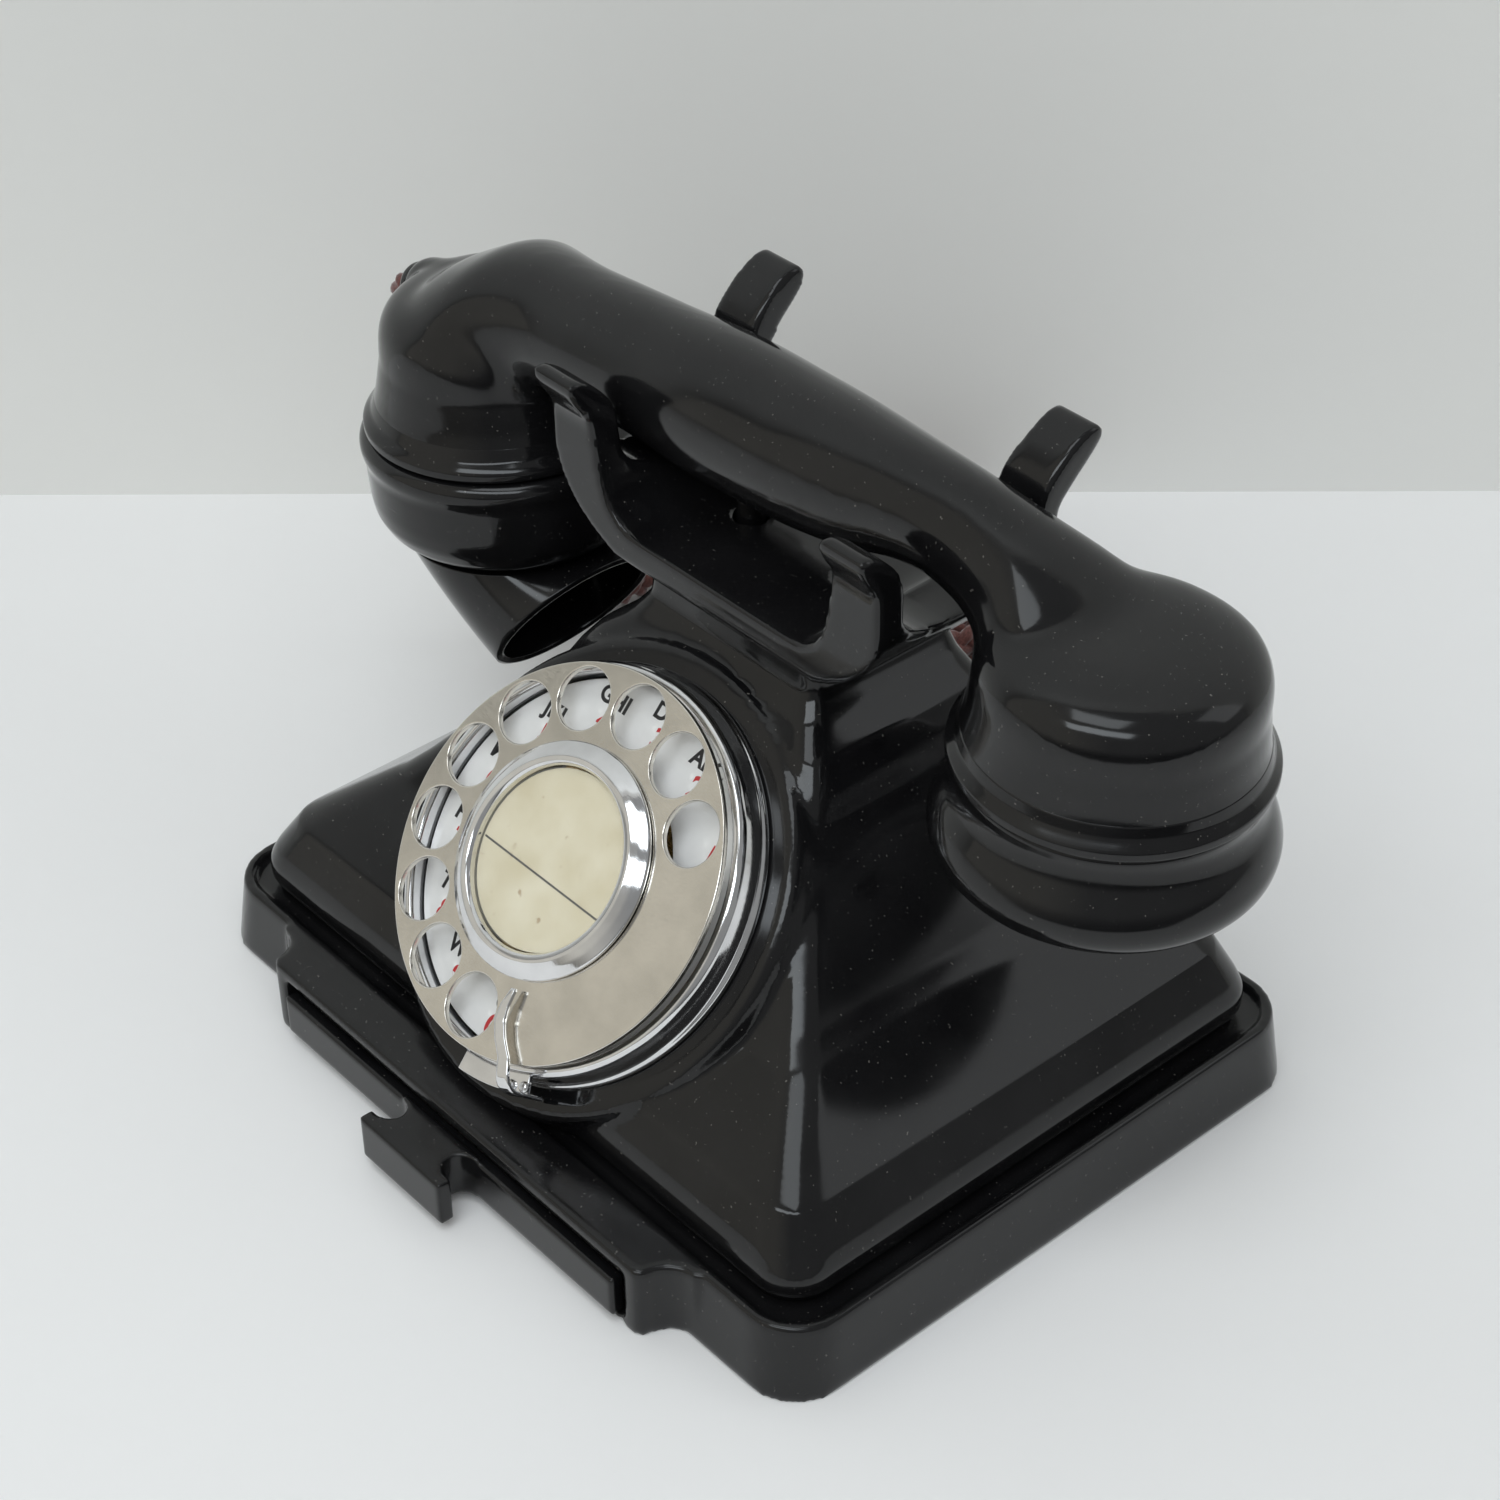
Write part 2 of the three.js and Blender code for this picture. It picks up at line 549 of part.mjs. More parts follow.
function mouthpiece() {
  const shares = [1, 0.75, 0.5, 0.25, 0];
  const past = (share) => (share === 1 ? 1 : share === 0 ? -1 : 0);
  const outside = loft(shares.map((share) => mouthpieceRing(share, 0, 0)));
  const inside = loft(shares.map((share) => mouthpieceRing(share, MOUTHPIECE.wall, past(share))));
  return cut(outside, inside);
}

const cordGland = () =>
  alongExit(turned([[3.7, 2.7], [4.9, 2.7], [4.9, 4], [4.4, 5], [3.7, 5], [3.7, 2.7]], 14));

// ---- Works inside the body ----------------------------------------------------------------------

const DECK_TOP = PLINTH.height - LEDGE_DEPTH + GAP;

const inductionCoil = () =>
  join(
    rod(8.5, -17, 17, 16),
    rod(11, -19, -16.5, 16),
    rod(11, 16.5, 19, 16),
    block([-12, -11, -19], [-7, 11, 19]),
  ).rotateY(Math.PI / 2).translate(-39, 34, DECK_TOP + 13);
const capacitor = () => roundedSlab(17, -7, 7, 2, DECK_TOP, DECK_TOP + 20).translate(38, 30, 0);

function terminalBlock() {
  const base = block([-16, 38, DECK_TOP], [16, 50, DECK_TOP + 6]);
  const studs = [-12, -4, 4, 12].map((x) => rod(2, DECK_TOP + 4, DECK_TOP + 9, 8).translate(x, 44, 0));
  return join(base, ...studs);
}

const SWITCH = { pivotY: 26, pivotZ: 86.4 };

const plunger = () => turned([[0, 88.6], [4.6, 88.6], [4.6, 90.4], [2.9, 90.4], [2.9, 106.4], [1.8, 107.6], [0, 107.9]], 12);

// The lever that the two plungers press, on a pin at the back of the neck.
const switchLever = () =>
  join(
    block([-16, 12, 86.6], [16, 19, 88.2]),
    block([-3, 17, 86.6], [3, 26, 88.2]),
    rod(1.9, -8, 8, 12).rotateY(Math.PI / 2).translate(0, SWITCH.pivotY, SWITCH.pivotZ),
    block([-1.6, 21, 74], [1.6, 22.6, 87]),
  );

const switchSprings = () =>
  join(
    block([-8, 18.4, 60], [8, 26, 64]),
    block([-6, 19, 63], [-1, 19.8, 82]),
    block([1, 19, 63], [6, 19.8, 82]),
    block([-6, 24.9, 63], [6, 25.7, 80]),
  );

const switchBracket = () =>
  cut(
    join(
      block([-12, 26.6, 58], [12, 28.2, 89]),
      block([-12, 17, 57], [12, 28.2, 59.7]),
      block([-12, 24, 82], [-8.6, 28.2, 89]),
      block([8.6, 24, 82], [12, 28.2, 89]),
    ),
    block([-8.3, 22, 83], [8.3, 30, 90.5]),
  );

// ---- Drawer -------------------------------------------------------------------------------------

function drawerTray() {
  const { halfX, front, plate, low, back, wall } = DRAWER;
  const start = front + plate + GAP;
  const outer = block([-halfX + 1.6, start, low + 0.2], [halfX - 1.6, back, low + 8.6]);
  const inner = block([-halfX + 1.6 + wall, start + wall, low + 0.2 + wall], [halfX - 1.6 - wall, back - wall, 30]);
  return cut(outer, inner);
}

// The front panel and its pull, a grip plate on a waisted neck.
function drawerFront() {
  const { halfX, front, plate, low, high } = DRAWER;
  const panel = block([-halfX, front, low], [halfX, front + plate, high]);
  const depth = front - PULL.back;
  const waist = Array.from({ length: 7 }, (_, i) => {
    const angle = (Math.PI * i) / 6;
    const bulge = (1 - Math.sin(angle)) * 4;
    return [PULL.neckHalfX + bulge, PULL.back + (depth * (1 - Math.cos(angle))) / 2];
  });
  const half = [[PULL.halfX, PULL.front], [PULL.halfX, PULL.back], ...waist, [PULL.neckHalfX + 4, front + 1]];
  const pull = slab([...half, ...half.map(([x, y]) => [-x, y]).reverse()], PULL.low, PULL.high);
  return join(panel, pull);
}

const noteCard = () => block([-46, -68, 4.2], [46, 24, 4.8]);

// ---- Handset cord -------------------------------------------------------------------------------

// The whole cord is about 1.4 m long. It drops behind the transmitter end, winds into a flat coil on the table
// behind the plinth and goes in through the plinth's back wall.
const CORD = { diameter: 7, sides: 8, step: 16 };
const COIL = { x: -80, y: 119, outer: 48.5, inner: 27.5, height: 13.1 };
const DROP = [
  [-119.2, 15.5, 108.7], [-122.5, 15.8, 107.5], [-125.2, 16.9, 104.8], [-126.7, 18.6, 100.6],
  [-127, 20.6, 95], [-126.8, 22.4, 88], [-126.2, 24.8, 76], [-125.6, 27.8, 62], [-125, 31, 48],
  [-124.6, 34, 35], [-124.4, 37.6, 23], [-124.4, 43.6, 12.5], [-124.5, 52.4, 6], [-124.7, 62.5, 3.9],
  [-124.9, 75, 3.6], [-125, 89, 3.6], [-125, 103, 3.6],
];
const TAIL = [
  [-59.2, 155, 10.2], [-50, 149.2, 10.9], [-40.5, 142.2, 11], [-32.2, 134.6, 9.6], [-27.5, 126, 6.8],
  [-24.5, 116.5, 4.4], [-22.5, 106.5, 3.6], [-21.2, 96.5, 4.1], [-20.3, 87, 5.8], [-20, 78.6, 7.9],
  [-20, 71.4, 8.5],
];
const SPLIT = 0.37; // the share of the drop that rides with the handset

const routeOf = (points) =>
  new THREE.CatmullRomCurve3(points.map((point) => new THREE.Vector3(...point)), false, "centripetal");

// A stretch of a route, between two shares of its length.
class Stretch extends THREE.Curve {
  constructor(route, from, to) {
    super();
    Object.assign(this, { route, from, to });
  }
  getPoint(t, target) {
    return this.route.getPointAt(this.from + t * (this.to - this.from), target);
  }
}

function cordTube(points, from = 0, to = 1, spare = 0) {
  const stretch = new Stretch(routeOf(points), from, to);
  const section = new THREE.Shape(
    circle([0, 0], CORD.diameter / 2 + spare, CORD.sides).map(([x, y]) => new THREE.Vector2(x, y)),
  );
  const steps = Math.max(2, Math.round(stretch.getLength() / CORD.step));
  return new THREE.ExtrudeGeometry(section, { steps, extrudePath: stretch, bevelEnabled: false });
}

// The coil as one ring, grooved where the cord runs into it and out of it.
const cordCoil = () =>
  cut(
    ring(COIL.inner, COIL.outer, 0.1, COIL.height, 32).translate(COIL.x, COIL.y, 0),
    cordTube(DROP, 0.5, 1, 0.8),
    cordTube(TAIL, 0, 0.75, 0.8),
  );

// A bush in a hole of the plinth's back wall.
function inletBush(x) {
  const bush = turned([[3.7, -3.6], [4, -3.6], [4, GAP], [5.6, GAP], [5.6, 1.8], [4.6, 3], [3.7, 3], [3.7, -3.6]], 12);
  return bush.rotateX(-Math.PI / 2).translate(x, PLINTH.halfY - 0.1, INLET.z);
}

// ---- Assembly -----------------------------------------------------------------------------------

place("body_shell", bodyShell(), phenolic);
place("plinth", plinth(), phenolic);
place("base_plate", basePlate(), steel);
CORNER_SCREWS.forEach(([x, y], i) => {
  place(`base_screw_${i + 1}`, cornerScrew(), steel).position.set(x, y, 0);
});
place("line_cord_bush", inletBush(INLET.line), phenolic);
place("handset_cord_bush", inletBush(INLET.handset), phenolic);

place("dial_case", dialCase(), chrome, dialParts);
place("number_ring", numberRing(), enamel, dialParts);
place("finger_stop", fingerStop(), chrome, dialParts);
place("dial_frame", dialFrame(), brass, dialParts);
place("dial_contact_springs", contactSprings(), brass, dialParts);
place("finger_plate", fingerPlate(), nickel, dialParts);
place("centre_ring", centreRing(), chrome, dialParts);
place("label_card", rod(17.2, 0.2, 0.8, 24), card, dialParts);
place("label_window", rod(17.3, 1.2, 1.9, 24), clear, dialParts);
place("dial_spindle", dialSpindle(), steel, dialParts);
place("drive_wheel", driveWheel(), brass, dialParts);
place("governor", governor(), brass, dialParts);

place("induction_coil", inductionCoil(), copper);
place("capacitor", capacitor(), steel);
place("terminal_block", terminalBlock(), phenolic);
place("switch_bracket", switchBracket(), steel);
place("switch_springs", switchSprings(), brass);
place("switch_lever", switchLever(), steel);
PLUNGERS.forEach((x, i) => {
  place(`cradle_plunger_${i + 1}`, plunger(), phenolic).position.set(x, CRADLE_Y, 0);
});

place("drawer_front", drawerFront(), phenolic);
place("drawer_tray", drawerTray(), steel);
place("note_card", noteCard(), card);

place("handset_body", handsetBody(), phenolic);
place("ear_cap", earCap(), phenolic);
place("receiver_capsule", receiverCapsule(), steel);
place("transmitter_cap", transmitterCap(), phenolic);
place("transmitter_capsule", transmitterCapsule(), steel);
place("mouthpiece", mouthpiece(), phenolic);
place("cord_gland", cordGland(), phenolic);
place("cord_upper", cordTube(DROP, 0, SPLIT), braid);
place("cord_lower", cordTube(DROP, SPLIT + 0.0015, 1), braid);
place("cord_coil", cordCoil(), braid);
place("cord_tail", cordTube(TAIL), braid);

const root = new THREE.Group();
parts.position.copy(ORIGIN_SHIFT);
root.add(parts);
export default root;
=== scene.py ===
# A pyramid-shaped desk telephone of the 1930s on a pale table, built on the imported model's frame.
import math

import bpy
from mathutils import Matrix, Vector


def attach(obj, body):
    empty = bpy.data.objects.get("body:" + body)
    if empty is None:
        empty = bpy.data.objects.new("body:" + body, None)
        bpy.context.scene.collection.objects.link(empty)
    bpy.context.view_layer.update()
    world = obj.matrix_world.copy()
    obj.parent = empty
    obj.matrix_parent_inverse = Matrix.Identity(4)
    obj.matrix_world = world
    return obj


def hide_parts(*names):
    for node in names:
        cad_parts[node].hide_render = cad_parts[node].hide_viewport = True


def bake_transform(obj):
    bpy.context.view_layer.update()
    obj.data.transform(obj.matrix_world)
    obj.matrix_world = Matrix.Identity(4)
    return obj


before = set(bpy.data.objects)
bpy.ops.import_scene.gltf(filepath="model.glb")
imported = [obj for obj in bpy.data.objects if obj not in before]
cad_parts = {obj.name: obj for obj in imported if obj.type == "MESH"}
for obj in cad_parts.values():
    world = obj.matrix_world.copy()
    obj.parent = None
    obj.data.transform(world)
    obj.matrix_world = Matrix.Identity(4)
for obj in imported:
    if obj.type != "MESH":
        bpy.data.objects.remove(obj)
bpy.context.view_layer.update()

# Lengths are millimetres about the centre of the plinth, as in the part, and SHIFT moves them to
# the frame's. Where a comment or a "* MM" says so, they are metres.
SHIFT = Vector((5.7, 7.55, 0))
MM = 0.001
CRADLE_Y = 15.5  # the handset's middle line
DIAL_TILT = math.radians(42.5)  # how far the dial leans back from upright


def metres(point):
    return (Vector(point) + SHIFT) * MM


# ---- Camera -------------------------------------------------------------------------------------


def add_camera():
    position, target = (354.4, -303.8, 417.0), (2.68, 0, 64.07)
    roll = math.radians(-0.69)
    forward = (Vector(target) - Vector(position)).normalized()
    right = forward.cross(Vector((0, 0, 1))).normalized()
    up = right.cross(forward)
    tilted_right = right * math.cos(roll) + up * math.sin(roll)
    tilted_up = up * math.cos(roll) - right * math.sin(roll)
    data = bpy.data.cameras.new("camera")
    data.lens = 73.9
    data.sensor_width = 36
    data.clip_start = 0.01
    camera = bpy.data.objects.new("camera", data)
    bpy.context.scene.collection.objects.link(camera)
    turn = Matrix((tilted_right, tilted_up, -forward)).transposed().to_4x4()
    camera.matrix_world = Matrix.Translation(metres(position)) @ turn
    bpy.context.scene.camera = camera


# ---- Materials ----------------------------------------------------------------------------------
# Bump distances are metres.


class Nodes:
    """A material's node tree, with short ways to add what the materials here need."""

    def __init__(self, name):
        self.material = bpy.data.materials.new(name)
        self.material.use_nodes = True
        self.tree = self.material.node_tree
        self.shader = self.tree.nodes["Principled BSDF"]
        self.place = self.add("ShaderNodeTexCoord").outputs["Object"]

    def add(self, kind, **values):
        node = self.tree.nodes.new(kind)
        for key, value in values.items():
            setattr(node, key, value)
        return node

    def link(self, source, target):
        self.tree.links.new(source, target)

    def set(self, **values):
        for key, value in values.items():
            self.shader.inputs[key.replace("_", " ")].default_value = value

    def noise(self, scale, detail, stretch=None):
        node = self.add("ShaderNodeTexNoise")
        node.inputs["Scale"].default_value = scale
        node.inputs["Detail"].default_value = detail
        source = self.place
        if stretch:
            mapping = self.add("ShaderNodeMapping")
            mapping.inputs["Scale"].default_value = stretch
            self.link(self.place, mapping.inputs["Vector"])
            source = mapping.outputs["Vector"]
        self.link(source, node.inputs["Vector"])
        return node.outputs["Fac"]

    def ramp(self, source, stops):
        """Colours a source by stops of (position, colour)."""
        node = self.add("ShaderNodeValToRGB")
        elements = node.color_ramp.elements
        while len(elements) < len(stops):
            elements.new(0.5)
        for element, (position, color) in zip(elements, stops):
            element.position = position
            element.color = (*color, 1)
        self.link(source, node.inputs["Fac"])
        return node.outputs["Color"]

    def values(self, source, low, high, start=0.3, end=0.7):
        """Maps a source from start and end to low and high."""
        node = self.add("ShaderNodeMapRange")
        limits = {"From Min": start, "From Max": end, "To Min": low, "To Max": high}
        for key, value in limits.items():
            node.inputs[key].default_value = value
        self.link(source, node.inputs["Value"])
        return node.outputs["Result"]

    def mix(self, factor, source, color):
        """Blends a source towards one colour."""
        node = self.add("ShaderNodeMix", data_type="RGBA")
        self.link(factor, node.inputs["Factor"])
        self.link(source, node.inputs["A"])
        node.inputs["B"].default_value = (*color, 1)
        return node.outputs["Result"]

    def bump(self, layers):
        """Layers of (height, strength, distance), each on the one before."""
        normal = None
        for height, strength, distance in layers:
            node = self.add("ShaderNodeBump")
            node.inputs["Strength"].default_value = strength
            node.inputs["Distance"].default_value = distance
            self.link(height, node.inputs["Height"])
            if normal:
                self.link(normal, node.inputs["Normal"])
            normal = node.outputs["Normal"]
        self.link(normal, self.shader.inputs["Normal"])


def phenolic(name, low, high, wave):
    """Polished black moulding, rough from low to high: slight waves, a haze of handling and a
    few specks of dust."""
    n = Nodes(name)
    haze = n.noise(55, 4)
    specks = n.noise(1500, 1)
    dust = n.values(specks, 0, 0.35, 0.74, 0.78)
    black = n.ramp(haze, [(0.35, (0.0045, 0.0045, 0.005)), (0.7, (0.008, 0.008, 0.0085))])
    n.link(n.mix(dust, black, (0.25, 0.24, 0.22)), n.shader.inputs["Base Color"])
    n.link(n.values(haze, low, high), n.shader.inputs["Roughness"])
    n.set(IOR=1.46)
    n.bump([(n.noise(38, 1), 1.0, wave), (n.noise(900, 3), 0.25, 0.00001)])
    return n.material


def plated(name, color, low, high):
    """Plated metal, rough from low to high, with fine scratches and a slightly cloudy wear."""
    n = Nodes(name)
    cloud = n.noise(140, 5)
    scratch = n.noise(900, 4, (1, 6, 1))
    dark = tuple(value * 0.86 for value in color)
    n.link(n.ramp(cloud, [(0.3, dark), (0.65, color)]), n.shader.inputs["Base Color"])
    n.link(n.values(scratch, low, high), n.shader.inputs["Roughness"])
    n.set(Metallic=1.0)
    n.bump([(scratch, 0.3, 0.00001), (n.noise(60, 1), 0.6, 0.00002)])
    return n.material


def painted(name, color, roughness, grain, bump, coat):
    """A smooth finish with a little cloudiness, a fine grain and a clear coat."""
    n = Nodes(name)
    cloud = n.noise(90, 4)
    dark = tuple(value * 0.88 for value in color)
    n.link(n.ramp(cloud, [(0.3, dark), (0.7, color)]), n.shader.inputs["Base Color"])
    n.link(n.values(cloud, roughness * 0.8, roughness * 1.2), n.shader.inputs["Roughness"])
    n.set(Coat_Weight=coat)
    n.bump([(n.noise(grain, 3), 0.5, bump)])
    return n.material


def aged_card(name):
    """Cream card, browned in patches, with fibres and a few brown foxing spots."""
    n = Nodes(name)
    patch = n.noise(110, 5)
    creams = [(0.3, (0.6, 0.54, 0.37)), (0.55, (0.68, 0.63, 0.47)), (0.75, (0.74, 0.7, 0.55))]
    cream = n.ramp(patch, creams)
    spots = n.values(n.noise(420, 2), 0, 0.7, 0.68, 0.76)
    n.link(n.mix(spots, cream, (0.32, 0.2, 0.09)), n.shader.inputs["Base Color"])
    n.set(Roughness=0.75)
    n.bump([(n.noise(2500, 3), 0.5, 0.00003)])
    return n.material


def cotton(name):
    """Plum-brown cotton yarn: fine fibres across a darker core, with a soft sheen."""
    n = Nodes(name)
    yarn = n.noise(2200, 3)
    age = n.noise(60, 3)
    plums = [(0.3, (0.045, 0.012, 0.012)), (0.6, (0.14, 0.045, 0.04)), (0.8, (0.24, 0.1, 0.085))]
    color = n.ramp(yarn, plums)
    faded = n.mix(n.values(age, 0, 0.35), color, (0.1, 0.05, 0.035))
    n.link(faded, n.shader.inputs["Base Color"])
    n.set(Roughness=0.85, Sheen_Weight=0.6, Sheen_Roughness=0.4)
    n.bump([(yarn, 0.8, 0.00015)])
    return n.material


def celluloid(name):
    """The clear window over the card."""
    n = Nodes(name)
    n.link(n.values(n.noise(200, 3), 0.03, 0.12), n.shader.inputs["Roughness"])
    n.set(Base_Color=(0.95, 0.93, 0.85, 1), Alpha=0.06, IOR=1.5)
    n.bump([(n.noise(60, 1), 0.3, 0.00003)])
    return n.material


def ink(name, color):
    n = Nodes(name)
    lighter = tuple(value + 0.03 for value in color)
    color = n.ramp(n.noise(3000, 3), [(0.3, color), (0.75, lighter)])
    n.link(color, n.shader.inputs["Base Color"])
    n.set(Roughness=0.35)
    return n.material


PHENOLIC = phenolic("phenolic", 0.07, 0.16, 0.00012)
PHENOLIC_MATT = phenolic("phenolic_plinth", 0.12, 0.26, 0.00008)
NICKEL = plated("nickel", (0.79, 0.755, 0.69), 0.1, 0.22)
CHROME = plated("chrome", (0.84, 0.84, 0.85), 0.04, 0.12)
STEEL = plated("steel", (0.48, 0.48, 0.49), 0.3, 0.5)
TINPLATE = plated("tinplate", (0.62, 0.61, 0.58), 0.25, 0.42)
BRASS = plated("brass", (0.72, 0.52, 0.24), 0.2, 0.38)
ENAMEL = painted("enamel", (0.85, 0.86, 0.86), 0.14, 400, 0.00001, 0.6)
CARD = aged_card("card")
COTTON = cotton("cotton")
CELLULOID = celluloid("celluloid")
VARNISHED_CLOTH = painted("varnished_cloth", (0.2, 0.09, 0.035), 0.4, 1800, 0.00015, 0.3)
BLACK_INK = ink("black_ink", (0.008, 0.008, 0.01))
RED_INK = ink("red_ink", (0.5, 0.02, 0.025))

# ---- Shapes -------------------------------------------------------------------------------------


def link_mesh(name, points, faces):
    """A mesh of points in metres."""
    data = bpy.data.meshes.new(name)
    data.from_pydata([tuple(point) for point in points], [], faces)
    data.update()
    piece = bpy.data.objects.new(name, data)
    bpy.context.scene.collection.objects.link(piece)
    return piece


def finish(piece, material, body, replaced=None, smooth=True):
    """Gives a piece its material and its body, and hides the CAD node that it stands for, if there
    is one.
    """
    piece.data.materials.clear()
    piece.data.materials.append(material)
    if smooth:
        piece.data.polygons.foreach_set("use_smooth", [True] * len(piece.data.polygons))
        weighted = piece.modifiers.new("normals", "WEIGHTED_NORMAL")
        weighted.keep_sharp = False
        weighted.weight = 80
    if replaced:
        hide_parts(replaced)
    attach(piece, body)


def rounded(points, radius, steps=4, closed=False):
    """A line of points with its corners rounded."""
    out = []
    count = len(points)
    for i, point in enumerate(points):
        if not closed and i in (0, count - 1):
            out.append(tuple(point))
            continue
        a, b, c = Vector(points[i - 1]), Vector(point), Vector(points[(i + 1) % count])
        reach = min(radius, (b - a).length * 0.45, (c - b).length * 0.45)
        start = b + (a - b).normalized() * reach
        end = b + (c - b).normalized() * reach
        for k in range(steps + 1):
            t = k / steps
            out.append(tuple((1 - t) ** 2 * start + 2 * t * (1 - t) * b + t * t * end))
    return out


def lathe(name, profile, place=Matrix(), segments=96, closed=False):
    """A profile of (radius, height), in millimetres and upwards on the outside, turned about Z."""
    points, rings, faces = [], [], []
    for radius, height in profile:
        if radius < 1e-4:
            rings.append([len(points)] * segments)
            points.append(Vector((0, 0, height)))
            continue
        rings.append(list(range(len(points), len(points) + segments)))
        for i in range(segments):
            angle = 2 * math.pi * i / segments
            points.append(Vector((radius * math.cos(angle), radius * math.sin(angle), height)))
    pairs = list(zip(rings, rings[1:]))
    if closed:
        pairs.append((rings[-1], rings[0]))
    for low, high in pairs:
        for i in range(segments):
            j = (i + 1) % segments
            face = list(dict.fromkeys([low[i], low[j], high[j], high[i]]))
            if len(face) > 2:
                faces.append(face)
    return link_mesh(name, [metres(place @ point) for point in points], faces)


def cylinder(name, radius, low, high, place, segments):
    return lathe(name, [(0, low), (radius, low), (radius, high), (0, high)], place, segments)


def loft(name, rings, closed=False):
    """Rings of points, lowest first and counter-clockwise from above, as one skin."""
    count = len(rings[0])
    faces = []
    for k in range(len(rings) - (0 if closed else 1)):
        a, b = k * count, (k + 1) % len(rings) * count
        for i in range(count):
            j = (i + 1) % count
            faces.append([a + i, a + j, b + j, b + i])
    if not closed:
        faces.append(list(range(count))[::-1])
        faces.append([(len(rings) - 1) * count + i for i in range(count)])
    return link_mesh(name, [metres(point) for ring in rings for point in ring], faces)


def rounded_ring(half_x, front, back, radius, z, steps=10):
    """A rectangle with round corners, level at z."""
    points = []
    for side, top, start in ((1, True, 0), (-1, True, 90), (-1, False, 180), (1, False, 270)):
        y = back - radius if top else front + radius
        for i in range(steps + 1):
            angle = math.radians(start + 90 * i / steps)
            x = side * (half_x - radius) + radius * math.cos(angle)
            points.append((x, y + radius * math.sin(angle), z))
    return points


def slab(name, outline, low, high, place=Matrix()):
    """A closed outline in the XY plane, raised along Z."""
    rings = [[place @ Vector((x, y, z)) for x, y in outline] for z in (low, high)]
    return loft(name, rings)


def block(name, low, high):
    """A box between two opposite corners."""
    (x0, y0, z0), (x1, y1, z1) = low, high
    return slab(name, [(x0, y0), (x1, y0), (x1, y1), (x0, y1)], z0, z1)


def evaluated_mesh(piece):
    graph = bpy.context.evaluated_depsgraph_get()
    return bpy.data.meshes.new_from_object(piece.evaluated_get(graph))


def apply_modifiers(piece):
    data = evaluated_mesh(piece)
    piece.modifiers.clear()
    piece.data = data


def combine(piece, operation, *tools):
    """Joins tools to a piece, cuts them out of it or keeps what they share, and removes them."""
    for tool in tools:
        modifier = piece.modifiers.new("combine", "BOOLEAN")
        modifier.operation = operation
        modifier.solver = "EXACT"
        modifier.object = tool
        apply_modifiers(piece)
        bpy.data.objects.remove(tool)
    return piece


BLEND_PASSES = 120


def moulded(piece, voxel, passes, soft=None):
    """Remeshes a joined solid evenly and softens its edges, as a moulding has them.
    soft gives, for a point in millimetres, how far it is blended into what is round it."""
    modifier = piece.modifiers.new("even", "REMESH")
    modifier.mode = "VOXEL"
    modifier.voxel_size = voxel * MM
    apply_modifiers(piece)
    modifier = piece.modifiers.new("soften", "SMOOTH")
    modifier.factor = 0.5
    modifier.iterations = passes
    if soft:
        group = piece.vertex_groups.new(name="soft")
        for vertex in piece.data.vertices:
            weight = soft(vertex.co / MM - SHIFT)
            if weight > 0:
                group.add([vertex.index], weight, "REPLACE")
        modifier = piece.modifiers.new("blend", "SMOOTH")
        modifier.factor = 0.5
        modifier.iterations = BLEND_PASSES
        modifier.vertex_group = "soft"
    apply_modifiers(piece)


def bevel(piece, width):
    modifier = piece.modifiers.new("bevel", "BEVEL")
    modifier.width = width * MM
    modifier.segments = 3
    modifier.limit_method = "ANGLE"
    modifier.angle_limit = math.radians(40)
    return piece


def spline(points, step):
    """Points about step apart on a smooth curve through the given ones."""
    points = [Vector(point) for point in points]
    ends = [2 * points[0] - points[1], *points, 2 * points[-1] - points[-2]]
    out = []
    for a, b, c, d in zip(ends, ends[1:], ends[2:], ends[3:]):
        count = max(1, round((c - b).length / step))
        square, cube = 2 * a - 5 * b + 4 * c - d, 3 * b - a - 3 * c + d
        for i in range(count):
            t = i / count
            out.append(0.5 * (2 * b + (c - a) * t + square * t**2 + cube * t**3))
    return out + [points[-1]]


# ---- Cord ---------------------------------------------------------------------------------------

# From the gland down behind the transmitter, and from the coil to the plinth's back wall.
DROP = [
    (-119.2, 15.5, 108.7), (-122.5, 15.8, 107.5), (-125.2, 16.9, 104.8), (-126.7, 18.6, 100.6),
    (-127, 20.6, 95), (-126.8, 22.4, 88), (-126.2, 24.8, 76), (-125.6, 27.8, 62), (-125, 31, 48),
    (-124.6, 34, 35), (-124.4, 37.6, 23), (-124.4, 43.6, 12.5), (-124.5, 52.4, 6),
    (-124.7, 62.5, 3.9), (-124.9, 75, 3.6), (-125, 89, 3.6), (-125, 103, 3.6),
]
TAIL = [
    (-59.2, 155, 10.2), (-50, 149.2, 10.9), (-40.5, 142.2, 11), (-32.2, 134.6, 9.6),
    (-27.5, 126, 6.8), (-24.5, 116.5, 4.4), (-22.5, 106.5, 3.6), (-21.2, 96.5, 4.1),
    (-20.3, 87, 5.8), (-20, 78.6, 7.9), (-20, 71.4, 8.5),
]
COIL_CENTRE = Vector((-80, 119, 0))
# Turn, radius and height along the coil: three turns inward on the table, then back out on top.
COIL = [
    (0, 45, 3.6), (1, 38, 3.6), (2, 31, 3.6), (3, 24, 3.6), (3.25, 22, 5.2), (3.5, 22.4, 8),
    (3.75, 24.5, 10.7), (4.3, 30.5, 10.8), (5, 38, 10.8), (5 + 1 / 3, 41.5, 10.2),
]
POINTS_PER_TURN = 16
ROUTE_STEP = 0.8
STRANDS, STRAND_RADIUS, STRAND_SIDES = 3, 1.72, 12
# How far a strand swings to the side and up, and how far along the cord it comes round again.
PLAIT_SIDE, PLAIT_UP, PLAIT_PITCH = 1.74, 0.85, 15.5
# The yarns of one strand, how deep they show and how far along it they come round.
YARNS, YARN_RELIEF, YARN_PITCH = 3, 0.05, 3.2


